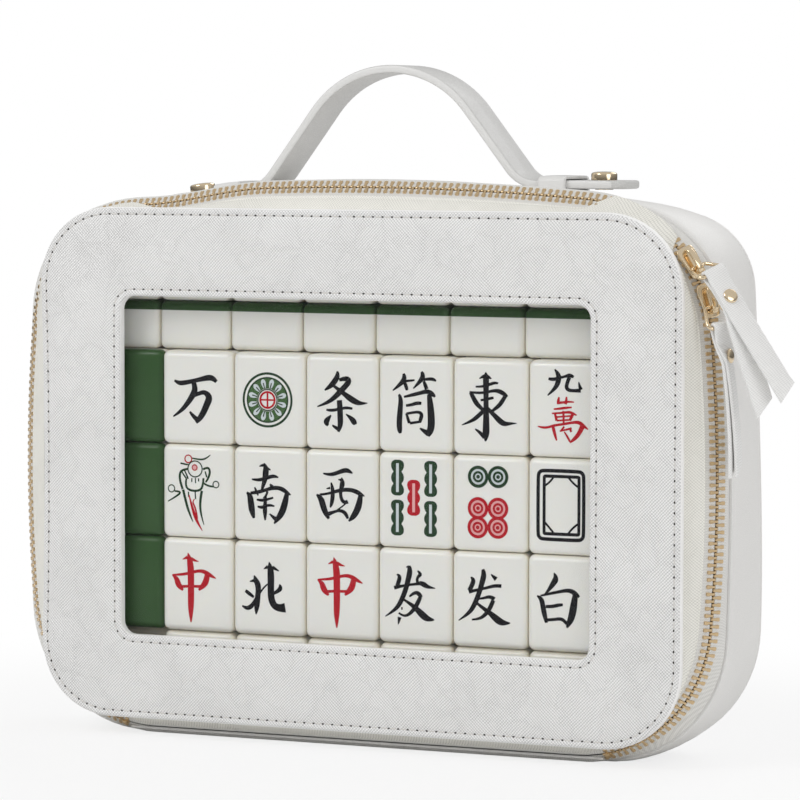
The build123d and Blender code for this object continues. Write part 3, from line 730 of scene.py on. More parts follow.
wall_steps = [(20.3, -2.7), (19.95, -2.0), (19.75, -1.1), (19.9, -0.3), (20.6, 0.15),
              (22.0, 0.45), (26.0, 0.9), (32.0, 1.25), (40.0, 1.35), (48.0, 1.1), (54.0, 0.65),
              (58.0, 0.25), (59.3, 0.0), (59.8, -0.5), (59.8, -3.0)]
wall = skin("side_wall", shell_loops(wall_steps), closed=True)
dress(wall, leather, "case_body", "smooth_leather", "body_side_wall")
back_steps = [(59.85, -3.0), (59.85, -0.6), (60.2, -0.1), (61.0, 0.05), (62.2, -0.5),
              (63.2, -1.7), (63.8, -3.2), (64.0, -5.5), (64.0, -30.0)]
back = skin("back_panel", shell_loops(back_steps))
dress(back, leather, "case_body", "smooth_leather", "body_back_panel")
tray_steps = [(59.7, -3.2), (21.2, -3.2), (20.5, -3.4), (20.5, -3.8), (21.0, -4.0), (58.9, -4.0)]
tray = skin("body_lining_cloth", shell_loops(tray_steps))
dress(tray, lining, "case_body", "lining_cloth", "body_lining")


def block(name, low, high, round_by):
    """Rounded block between two corners, in millimetres."""
    only()
    bpy.ops.mesh.primitive_cube_add(size=1.0)
    piece = bpy.context.object
    piece.name = piece.data.name = name
    edit_all()
    bpy.ops.transform.resize(value=[(b - a) * MM for a, b in zip(low, high)])
    bpy.ops.transform.translate(value=[(a + b) / 2 * MM for a, b in zip(low, high)])
    bpy.ops.mesh.bevel(offset=round_by * MM, segments=3, affect="EDGES")
    bpy.ops.object.mode_set(mode="OBJECT")
    return piece


hinge = block("hinge_leather", (-112.5, -18.95, 1.5), (112.5, -12.0, 2.7), 0.4)
dress(hinge, leather, "case_body", "smooth_leather", "hinge_strip")
stop_seed = block("stop_seed", (-1.2, -1.4, -1.6), (1.2, 1.4, 1.6), 0.5)
stop_start = hinge_half + 1.5
ends = [min((spot for spot in rail if spot[1] < hinge_top and side * spot[0] > stop_start),
            key=lambda spot: abs(spot[0]))
        for side in (1, -1)]
stops = repeat("zip_stops", stop_seed, [chain_place(*spot, across=0.6) for spot in ends])
dress(stops, zip_metal, "case_body", "zip_metal", "zip_end_stops")
drop(stop_seed)


# ---- Handle ----------------------------------------------------------------------------
# One thick leather strap with rounded, lighter painted edges. It rises in an arch, runs
# through a sewn leather keeper on each side, and ends in a flat tail with a gold stud.

handle_y, handle_middle, seat = 11.0, 4.5, 244.0
strap_wide, strap_thick = 25.0, 3.6


def edged_leather(light, dark, edge):
    """Fine-grained leather whose cut edges, at the front and back, are painted lighter."""
    tree, end, place = shader_group("edged_leather", "Color", "Height")
    grain = tree.nodes.new("ShaderNodeGroup")
    grain.node_tree = pebble_grain("strap_pebble", 0.7, light, dark)
    side = add_node(tree, "ShaderNodeSeparateXYZ", Vector=place).outputs["Y"]
    off = maths(tree, "ABSOLUTE", maths(tree, "SUBTRACT", side, handle_y * MM))
    share = maths(tree, "GREATER_THAN", off, 0.01215)  # just inside half the strap's width
    tree.links.new(tint(tree, grain.outputs["Color"], edge, share), end.inputs["Color"])
    relief = maths(tree, "MULTIPLY", grain.outputs["Height"], maths(tree, "SUBTRACT", 1.0, share))
    tree.links.new(relief, end.inputs["Height"])
    return tree


strap_leather = textured(principled("handle_leather", (0.8, 0.8, 0.8), 0.48, coat=0.08),
                         edged_leather((0.73, 0.725, 0.71), (0.56, 0.555, 0.54),
                                       (0.78, 0.775, 0.76)),
                         depth=0.05, Color="Base_Color")


def strap_section(wide, thick, corner, steps=3):
    """Cross-section of a strap with rounded edges: across and up, counter-clockwise."""
    points = []
    for cx, cy, start in ((1, 1, 0), (-1, 1, 90), (-1, -1, 180), (1, -1, 270)):
        for k in range(steps + 1):
            angle = radians(start + 90 * k / steps)
            points.append((cx * (wide / 2 - corner) + corner * cos(angle),
                           cy * (thick / 2 - corner) + corner * sin(angle)))
    return points


def rounded_path(corners, radii, step=2.0):
    """Points along straight runs joined by tangent arcs, one radius for each inner corner."""
    track = [Vector(corners[0])]
    for k, radius in enumerate(radii, 1):
        before, corner, after = (Vector(corners[k + i]) for i in (-1, 0, 1))
        u, v = (before - corner).normalized(), (after - corner).normalized()
        half = u.angle(v) / 2
        reach = radius / (sin(half) / cos(half))
        middle = corner + (u + v).normalized() * radius / sin(half)
        first, last = corner + u * reach - middle, corner + v * reach - middle
        swing = first.angle(last)
        count = max(4, round(swing * radius / step))
        for i in range(count + 1):
            t = i / count
            spoke = (first * sin((1 - t) * swing) + last * sin(t * swing)) / sin(swing)
            track.append(middle + spoke)
    track.append(Vector(corners[-1]))
    return track


def ways(track):
    """Unit direction of travel at each point."""
    ends = [track[0]] + track + [track[-1]]
    return [(ends[k + 2] - ends[k]).normalized() for k in range(len(track))]


def strap_loops(track, sideways, section):
    """Cross-sections stood along a track; sideways is the strap's own width direction."""
    loops = []
    for point, way in zip(track, ways(track)):
        up = sideways.cross(way).normalized()
        loops.append([tuple(point + sideways * a + up * b) for a, b in section])
    return loops


tail_start, leg_foot, apex, left_sink = 71.2, 61.315, 322.48, 3.2
corners = [(handle_middle - tail_start, handle_y, seat - left_sink),
           (handle_middle - leg_foot, handle_y, seat - left_sink),
           (handle_middle, handle_y, apex),
           (handle_middle + leg_foot, handle_y, seat),
           (handle_middle + tail_start, handle_y, seat)]
track = rounded_path(corners, (16.0, 45.3, 16.0), step=2.5)
section = strap_section(strap_wide, strap_thick, 1.1)
arch = skin("handle_strap", strap_loops(track, Vector((0.0, -1.0, 0.0)), section))
dress(arch, strap_leather, "case_body", "handle_leather", "handle_arch")
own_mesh(arch)


def tail_matrix(side):
    """Where a tail starts: X outwards along it, Z up; the left one sinks with the leather."""
    fall, sink = (radians(7.5), left_sink) if side < 0 else (0.0, 0.0)
    out = Vector((side * cos(fall), 0.0, -sin(fall)))
    up = Vector((side * sin(fall), 0.0, cos(fall)))
    across = up.cross(out)
    start = Vector((handle_middle + side * tail_start, handle_y, seat - strap_thick / 2 - sink))
    return Matrix([[out[i], across[i], up[i], start[i]] for i in range(3)] + [[0, 0, 0, 1]])


def placed(matrix, loops):
    """Loops moved to this place."""
    return [[tuple(matrix @ Vector(p)) for p in loop] for loop in loops]


def tail_outline(inset):
    """Flat end seen from above, square inside and rounded outside."""
    half, reach, radius = strap_wide / 2 - inset, 38.0 - inset, 8.0 - inset
    points = [(inset * 0.2, -half), (12.0, -half), (24.0, -half)]
    for cy, start in ((-1, -90), (1, 0)):
        for k in range(9):
            angle = radians(start + 90 * k / 8)
            points.append((reach - radius + radius * cos(angle),
                           cy * (half - radius) + radius * sin(angle)))
    return points + [(24.0, half), (12.0, half), (inset * 0.2, half)]


def dome(radius, profile, turns=24):
    """Turned form: loops of a profile of (share of the radius, height)."""
    angles = [2 * pi * k / turns for k in range(turns)]
    return [[(radius * r * cos(a), radius * r * sin(a), z) for a in angles] for r, z in profile]


gold = principled("pale_gold_plate", (0.88, 0.72, 0.50), 0.13, metallic=1.0)
tail_profile = [(1.1, 0.0), (0.35, 0.25), (0.0, 0.9), (0.0, 2.7), (0.35, 3.35), (1.1, 3.6)]
stud_reach, stud_radius = 24.3, 5.6
stud_profile = [(0.25, -0.4), (0.7, -0.4), (0.7, 0.0), (0.26, 0.0), (0.26, 3.6), (0.96, 3.62),
                (1.0, 3.8), (1.0, 6.1), (0.97, 6.55), (0.88, 6.9), (0.72, 7.1), (0.45, 7.25),
                (0.15, 7.3)]
# The keeper goes round the strap and down into the seam: (across, up) inside and outside.
keeper_inner = [(-12.85, -6.0), (-12.85, 3.55), (-12.3, 4.1), (12.3, 4.1), (12.85, 3.55),
                (12.85, -6.0)]
keeper_outer = [(15.25, -6.0), (15.25, 3.0), (14.9, 4.1), (14.1, 4.95), (12.9, 5.35),
                (6.0, 5.5), (0.0, 5.55), (-6.0, 5.5), (-12.9, 5.35), (-14.1, 4.95),
                (-14.9, 4.1), (-15.25, 3.0), (-15.25, -6.0)]
keeper_steps = [(-0.2, 0.35), (0.1, 0.1), (0.6, 0.0), (6.0, -0.08), (11.0, 0.0), (11.5, 0.1),
                (11.8, 0.35)]
for side, name in ((-1, "left"), (1, "right")):
    place, end = tail_matrix(side), "handle_end_" + name
    loops = [[(x, y, z) for x, y in tail_outline(inset)] for inset, z in tail_profile]
    tail = skin("strap_tail_" + name, placed(place, loops))
    dress(tail, strap_leather, end, "handle_leather", "handle_tail_" + name)
    stud_place = place @ Matrix.Translation((stud_reach, 0, 0))
    stud = skin("gold_stud_" + name, placed(stud_place, dome(stud_radius, stud_profile)))
    dress(stud, gold, end, "gold_hardware", "handle_stud_" + name, angle=50)
    loops = []
    for x, shrink in keeper_steps:
        outer = [(x, y * (1 - shrink / 15.0), z - shrink) for y, z in keeper_outer]
        loops.append([(x, y, z) for y, z in keeper_inner] + outer)
    keeper = skin("keeper_loop_" + name, placed(place, loops))
    dress(keeper, strap_leather, "case_body", "handle_leather", "handle_keeper_" + name, angle=50)


# ---- Zip sliders -----------------------------------------------------------------------
# Cast and gold-plated. Two shaped plates run above and below the chain, and the outer one
# carries an arched bridge that holds the pull's ring.

def frame_matrix(origin, along, normal):
    """Place from an origin in millimetres, its X direction and its Z direction."""
    z = Vector(normal).normalized()
    x = Vector(along)
    x = (x - z * x.dot(z)).normalized()
    y = z.cross(x)
    return Matrix([[x[i], y[i], z[i], origin[i]] for i in range(3)] + [[0, 0, 0, 1]])


slider_places = {
    "upper": frame_matrix((149.861, -19.0, 211.462), (0.5524, 0.0, -0.8336),
                          (0.6386, -0.6428, 0.4232)),
    "lower": frame_matrix((157.133, -19.0, 196.159), (0.2974, 0.0, -0.9548),
                          (0.7314, -0.6428, 0.2278)),
}


def plate_outline(inset):
    """Slider plate from above: wide shoulders where the tapes part, a narrower waist behind."""
    long, wide = 7.25, 4.3  # half the plate's length, and half its width at the shoulders
    half = [(-long, 2.9), (-6.7, 3.7), (-5.4, 4.15), (-3.0, wide), (-0.5, 4.0), (2.0, 3.75),
            (4.6, 3.7), (6.2, 3.45), (7.0, 2.6), (long, 1.3)]
    points = [(x, -y) for x, y in half] + [(x, y) for x, y in reversed(half)]
    return [(x * (1 - inset / long), y * (1 - inset / wide)) for x, y in points]


def join(name, pieces):
    """Makes one piece of several."""
    only(*pieces)
    bpy.ops.object.join()
    pieces[0].name = name
    return pieces[0]


bridge_side = [(3.0, 6.12), (4.3, 5.85), (5.0, 5.2), (5.2, 4.4), (5.2, 3.0)]
bridge_line = [Vector((-x, 0.0, z)) for x, z in reversed(bridge_side)] + [Vector((0.0, 0.0, 6.2))]
bridge_line += [Vector((x, 0.0, z)) for x, z in bridge_side]
plate_insets = (0.25, 0.0, 0.0, 0.35, 0.8)
plate_heights = ((1.75, 1.95, 2.75, 3.05, 3.1), (-1.75, -1.95, -2.75, -3.0, -3.1))
for name, place in slider_places.items():
    pieces = []
    for heights in plate_heights:
        loops = [[(x, y, z) for x, y in plate_outline(inset)]
                 for inset, z in zip(plate_insets, heights)]
        pieces.append(skin("slider_plate", placed(place, loops)))
    loops = strap_loops(bridge_line, Vector((0.0, 1.0, 0.0)), strap_section(2.5, 1.1, 0.4))
    pieces.append(skin("slider_bridge", placed(place, loops)))
    slider = join("gold_slider_" + name, pieces)
    dress(slider, gold, "slider_" + name, "gold_hardware", "slider_" + name, angle=50)


# ---- Pulls -----------------------------------------------------------------------------
# Each slider carries a bent wire ring. A strip of leather is folded over the ring and held
# by a gold rivet, and its two ends, cut on the slant, hang open.

ring_length, rivet_reach = 10.8, 12.0
ring_lifts = {"upper": 50.0, "lower": 27.0}
strap_lifts = {"upper": -50.0, "lower": -36.5}
yaws = {"upper": 0.0, "lower": -4.5}
twists = {"upper": 0.0, "lower": -47.0}


def tilt(matrix, distance, height, lift):
    """Place moved along and above another one, and lifted about its own Y."""
    lifted = Matrix.Rotation(radians(-lift), 4, "Y")
    return matrix @ Matrix.Translation((distance, 0, height)) @ lifted


def wire_ring(place):
    """Closed wire: narrow at the slider's bridge, wide at the strap."""
    neck, wide, corner, wire = 3.9, 7.0, 2.0, 0.8
    corners = [(0.0, -neck, 0.0), (ring_length, -wide, 0.0), (ring_length, wide, 0.0),
               (0.0, neck, 0.0)]
    track = rounded_path([corners[3]] + corners + corners[:1], [corner] * 4, step=0.7)[1:-1]
    turns = [2 * pi * k / 12 for k in range(12)]
    circle = [(wire * cos(turn), wire * sin(turn)) for turn in turns]
    directions = ways([track[-1]] + track + [track[0]])[1:-1]
    up = Vector((0.0, 0.0, 1.0))
    loops = []
    for point, way in zip(track, directions):
        side = up.cross(way).normalized()
        loops.append([tuple(point + side * a + up * b) for a, b in circle])
    return placed(place, loops)


def spin_share(x):
    """How much of a pull's twist is reached this far from its fold."""
    return eased(x, 3.0, 16.0)


def folded_strap(place, twist, spreads, swings, sag):
    """Strip folded over the ring; twist turns the hanging part about its own length.

    Each end opens out by its spread and turns round the rivet by its swing.
    """
    knee, neck, rise, length = 18.2, 5.8, 0.75, 62.0
    wide, end_slant = 10.0, 5.0
    hanging = length - knee

    def leg(spread, way):
        """From the fold's neck to the free end, on one side of the strip's middle."""
        run = [(1.0, 1.7), (2.5, 1.35), (neck, rise + 0.02)]
        run += [(x, rise) for x in (9.0, 12.0, 15.0, knee)]
        run += [(knee + hanging * t * cos(spread), rise + hanging * t * sin(spread))
                for t in (0.08, 0.2, 0.4, 0.6, 0.8, 1.0)]
        return [(x, way * z) for x, z in run]

    turns = [radians(a) for a in (-15, -45, -75, -90, -105, -135, -165)]
    bend = [(1.8 * sin(turn), 1.8 * cos(turn)) for turn in turns]
    line = leg(spreads[0], 1)[::-1] + bend + leg(spreads[1], -1)
    track = [Vector((x, 0.0, z)) for x, z in line]
    section = strap_section(wide, 1.4, 0.35, steps=2)
    loops = []
    for index, loop in enumerate(strap_loops(track, Vector((0.0, 1.0, 0.0)), section)):
        end = index == 0 or index == len(track) - 1
        swing = swings[0] if index < len(track) / 2 else swings[1]
        moved = []
        for x, y, z in loop:
            x -= (y + wide / 2) / wide * end_slant if end else 0.0
            y += max(x - rivet_reach, 0.0) * swing * eased(x, rivet_reach, 2 * rivet_reach)
            z -= sag * (max(x - knee, 0.0) / hanging) ** 2
            spin = Matrix.Rotation(radians(twist * spin_share(x)), 3, "X")
            moved.append(tuple(spin @ Vector((x, y, z))))
        loops.append(moved)
    return placed(place, loops)


pull_leather = textured(principled("pull_leather", (0.8, 0.8, 0.8), 0.5, coat=0.05),
                        crossed_grain(0.8, (0.90, 0.895, 0.88), (0.60, 0.595, 0.58)),
                        depth=0.06, Color="Base_Color")
rivet_profile = [(0.35, 0.75), (0.39, 1.5), (0.93, 1.52), (1.0, 1.75), (0.98, 2.0), (0.85, 2.3),
                 (0.6, 2.5), (0.3, 2.58), (0.08, 2.6)]
# Each pull: how far its two ends open, how far they swing round the rivet, and its sag.
shapes = {"upper": ((radians(6.0), radians(3.0)), (-0.07, -0.24), 0.0),
          "lower": ((radians(0.8), radians(0.2)), (0.0, -0.03), 2.8)}
for name, place in slider_places.items():
    aside = Matrix.Rotation(radians(yaws[name]), 4, "Z")
    ring_place = tilt(place @ aside, 3.0, 4.35, ring_lifts[name])
    strap_place = tilt(ring_place, ring_length, 0.0, strap_lifts[name])
    wire = skin("wire_ring_" + name, wire_ring(ring_place), closed=True)
    dress(wire, gold, "pull_ring_" + name, "gold_hardware", "pull_ring_" + name, angle=60)
    strap = skin("leather_pull_" + name, folded_strap(strap_place, twists[name], *shapes[name]))
    dress(strap, pull_leather, "pull_strap_" + name, "strap_leather", "pull_strap_" + name,
          angle=45)
    spin = Matrix.Rotation(radians(twists[name] * spin_share(rivet_reach)), 4, "X")
    middle = strap_place @ spin @ Matrix.Translation((rivet_reach, 0, 0))
    halves = []
    for flip in (0.0, 180.0):
        turned = middle @ Matrix.Rotation(radians(flip), 4, "X")
        halves.append(skin("rivet_half", placed(turned, dome(3.1, rivet_profile, 20))))
    rivet = join("gold_rivet_" + name, halves)
    dress(rivet, gold, "pull_strap_" + name, "gold_hardware", "pull_rivet_" + name, angle=50)


# ---- Tiles -----------------------------------------------------------------------------
# Two-part moulded tiles, polished and rounded: an ivory block with a green back. They stand
# three high behind the window, with lying rows under and over them and a layer behind.

tile_wide, tile_thick, tile_high, ivory_thick = 34.5, 21.2, 41.0, 17.1
stack_left, stack_base, column_pitch, row_pitch = -128.6, 47.0, 34.7, 41.2


def warm_edges(face, edge):
    """Ivory that turns warmer from a tile's front round its edges; lengths are in metres.

    The lying tiles start further back than the standing ones, past a plane between the two.
    """
    standing_front, lying_front, parting, warming = -0.0242, -0.0174, -0.0185, 0.0024
    tree, end, place = shader_group("warm_edges", "Color")
    depth = add_node(tree, "ShaderNodeSeparateXYZ", Vector=place).outputs["Y"]
    behind = maths(tree, "GREATER_THAN", depth, parting)
    step = lying_front - standing_front
    front = maths(tree, "MULTIPLY_ADD", behind, step, standing_front)
    share = maths(tree, "DIVIDE", maths(tree, "SUBTRACT", depth, front), warming)
    share = maths(tree, "MAXIMUM", maths(tree, "MINIMUM", share, 1.0), 0.0)
    tree.links.new(tint(tree, face, edge, share), end.inputs["Color"])
    return tree


ivory = textured(principled("ivory_tile", (0.84, 0.835, 0.78), 0.25, coat=0.15, subsurface=0.15),
                 warm_edges((0.87, 0.87, 0.825), (0.87, 0.83, 0.72)), Color="Base_Color")
polish(ivory, Subsurface_Radius=(1.0, 0.75, 0.4))
green = polish(principled("green_tile", (0.03, 0.085, 0.022), 0.3, coat=0.04),
               Specular_IOR_Level=0.25)


def tile_half(name, near, far):
    """The part of a rounded tile between two depths; the face is at depth 0."""
    only()
    bpy.ops.mesh.primitive_cube_add(size=1.0)
    piece = bpy.context.object
    piece.name = name
    edit_all()
    bpy.ops.transform.resize(value=(tile_wide * MM, tile_thick * MM, tile_high * MM))
    bpy.ops.transform.translate(value=(0.0, tile_thick / 2 * MM, 0.0))
    bpy.ops.mesh.bevel(offset=3.0 * MM, segments=5, affect="EDGES")
    for depth, clear_inner in ((near, True), (far, False)):
        if 0.0 < depth < tile_thick:
            bpy.ops.mesh.select_all(action="SELECT")
            bpy.ops.mesh.bisect(plane_co=(0, depth * MM, 0), plane_no=(0, 1, 0), use_fill=True,
                                clear_inner=clear_inner, clear_outer=not clear_inner)
    bpy.ops.object.mode_set(mode="OBJECT")
    return piece


def column_middle(column):
    """Middle of a column of tiles, from the middle of the case."""
    return stack_left + column_pitch * column + tile_wide / 2


def standing(column, y, z, turned=False):
    """Where a standing tile goes: its face at this y, to the front or turned to the back."""
    spin = Matrix.Rotation(radians(180 if turned else 0), 4, "Z")
    middle = column_middle(column) * MM, y * MM, (z + tile_high / 2) * MM
    return Matrix.Translation(middle) @ spin


def lying(column, y, z, face_up=False):
    """Where a lying tile goes: it starts at this y and z, with its ivory face down or up."""
    base, turn = (z + tile_thick, -90) if face_up else (z, 90)
    middle = column_middle(column) * MM, (y + tile_high / 2) * MM, base * MM
    return Matrix.Translation(middle) @ Matrix.Rotation(radians(turn), 4, "X")


rows = [stack_base + row_pitch * k for k in range(3)]
shifted = Matrix.Translation((-4.8 * MM, 0, -0.6 * MM))
lower_rows = ((-23.2, 25.6, range(1, 7)), (-14.1, 25.6, (0, 7)), (-14.1, 4.2, range(1, 7)))
upper_rows = ((171.2, range(8)), (192.6, range(7)))
groups = {
    "front": [standing(c, -24.4, z) for c in range(1, 8) for z in rows],
    "turned": [standing(0, -2.0, z, turned=True) for z in rows],
    "rear": [standing(c, -1.8, z) for c in range(8) for z in rows],
    "lower": [lying(c, y, z, face_up=True) for y, z, columns in lower_rows for c in columns],
    "upper": [shifted @ lying(c, -17.6, z) for z, columns in upper_rows for c in columns],
}
face_seed = tile_half("tile_face", 0.0, ivory_thick)
cover_seed = tile_half("tile_cover", ivory_thick, tile_thick)
for group, places in groups.items():
    faces = repeat("ivory_" + group, face_seed, places)
    dress(faces, ivory, "case_body", "tile_ivory", f"tiles_{group}_faces", angle=30)
    covers = repeat("green_" + group, cover_seed, places)
    dress(covers, green, "case_body", "tile_green", f"tiles_{group}_covers", angle=30)
drop(face_seed, cover_seed)


# ---- Marks on the tiles ----------------------------------------------------------------
# The traditional signs, cut into the faces and filled with black, red or green paint. Each
# brush stroke is one line whose width swells and tapers, pressed flat on the tile's face.

def paint(name, color):
    """Matt paint in a tile's cut signs."""
    return polish(principled(name, color, 0.5), Specular_IOR_Level=0.15)


inks = {"black": paint("black_paint", (0.006, 0.006, 0.008)),
        "red": paint("red_paint", (0.47, 0.008, 0.018)),
        "green": paint("green_paint", (0.018, 0.05, 0.022)),
        "pale": paint("pale_paint", (0.62, 0.68, 0.70)),
        "leaf": paint("leaf_paint", (0.06, 0.13, 0.045)),
        "rose": paint("rose_paint", (0.80, 0.42, 0.42))}
strokes = {name: [] for name in inks}


def draw(ink, lines, shift=(0.0, 0.0), swell=1.0, layer=0):
    """Adds strokes, parted by commas, from a tile's middle.

    Each point is written as across, up and half width, in millimetres.
    """
    for line in lines.split(","):
        v = [float(number) for number in line.split()]
        points = [(v[k] + shift[0], v[k + 1] + shift[1], v[k + 2] * swell)
                  for k in range(0, len(v), 3)]
        strokes[ink].append((points, False, layer))


def ring(ink, x, y, radius, half, layer=0):
    """Ring of this radius to its middle line."""
    turns = [2 * pi * k / 16 for k in range(16)]
    points = [(x + radius * cos(a), y + radius * sin(a), half) for a in turns]
    strokes[ink].append((points, True, layer))


def face(column, row):
    """Centre of a standing tile's face, from the panel's middle and the base."""
    return column_middle(column), stack_base + row_pitch * row + tile_high / 2


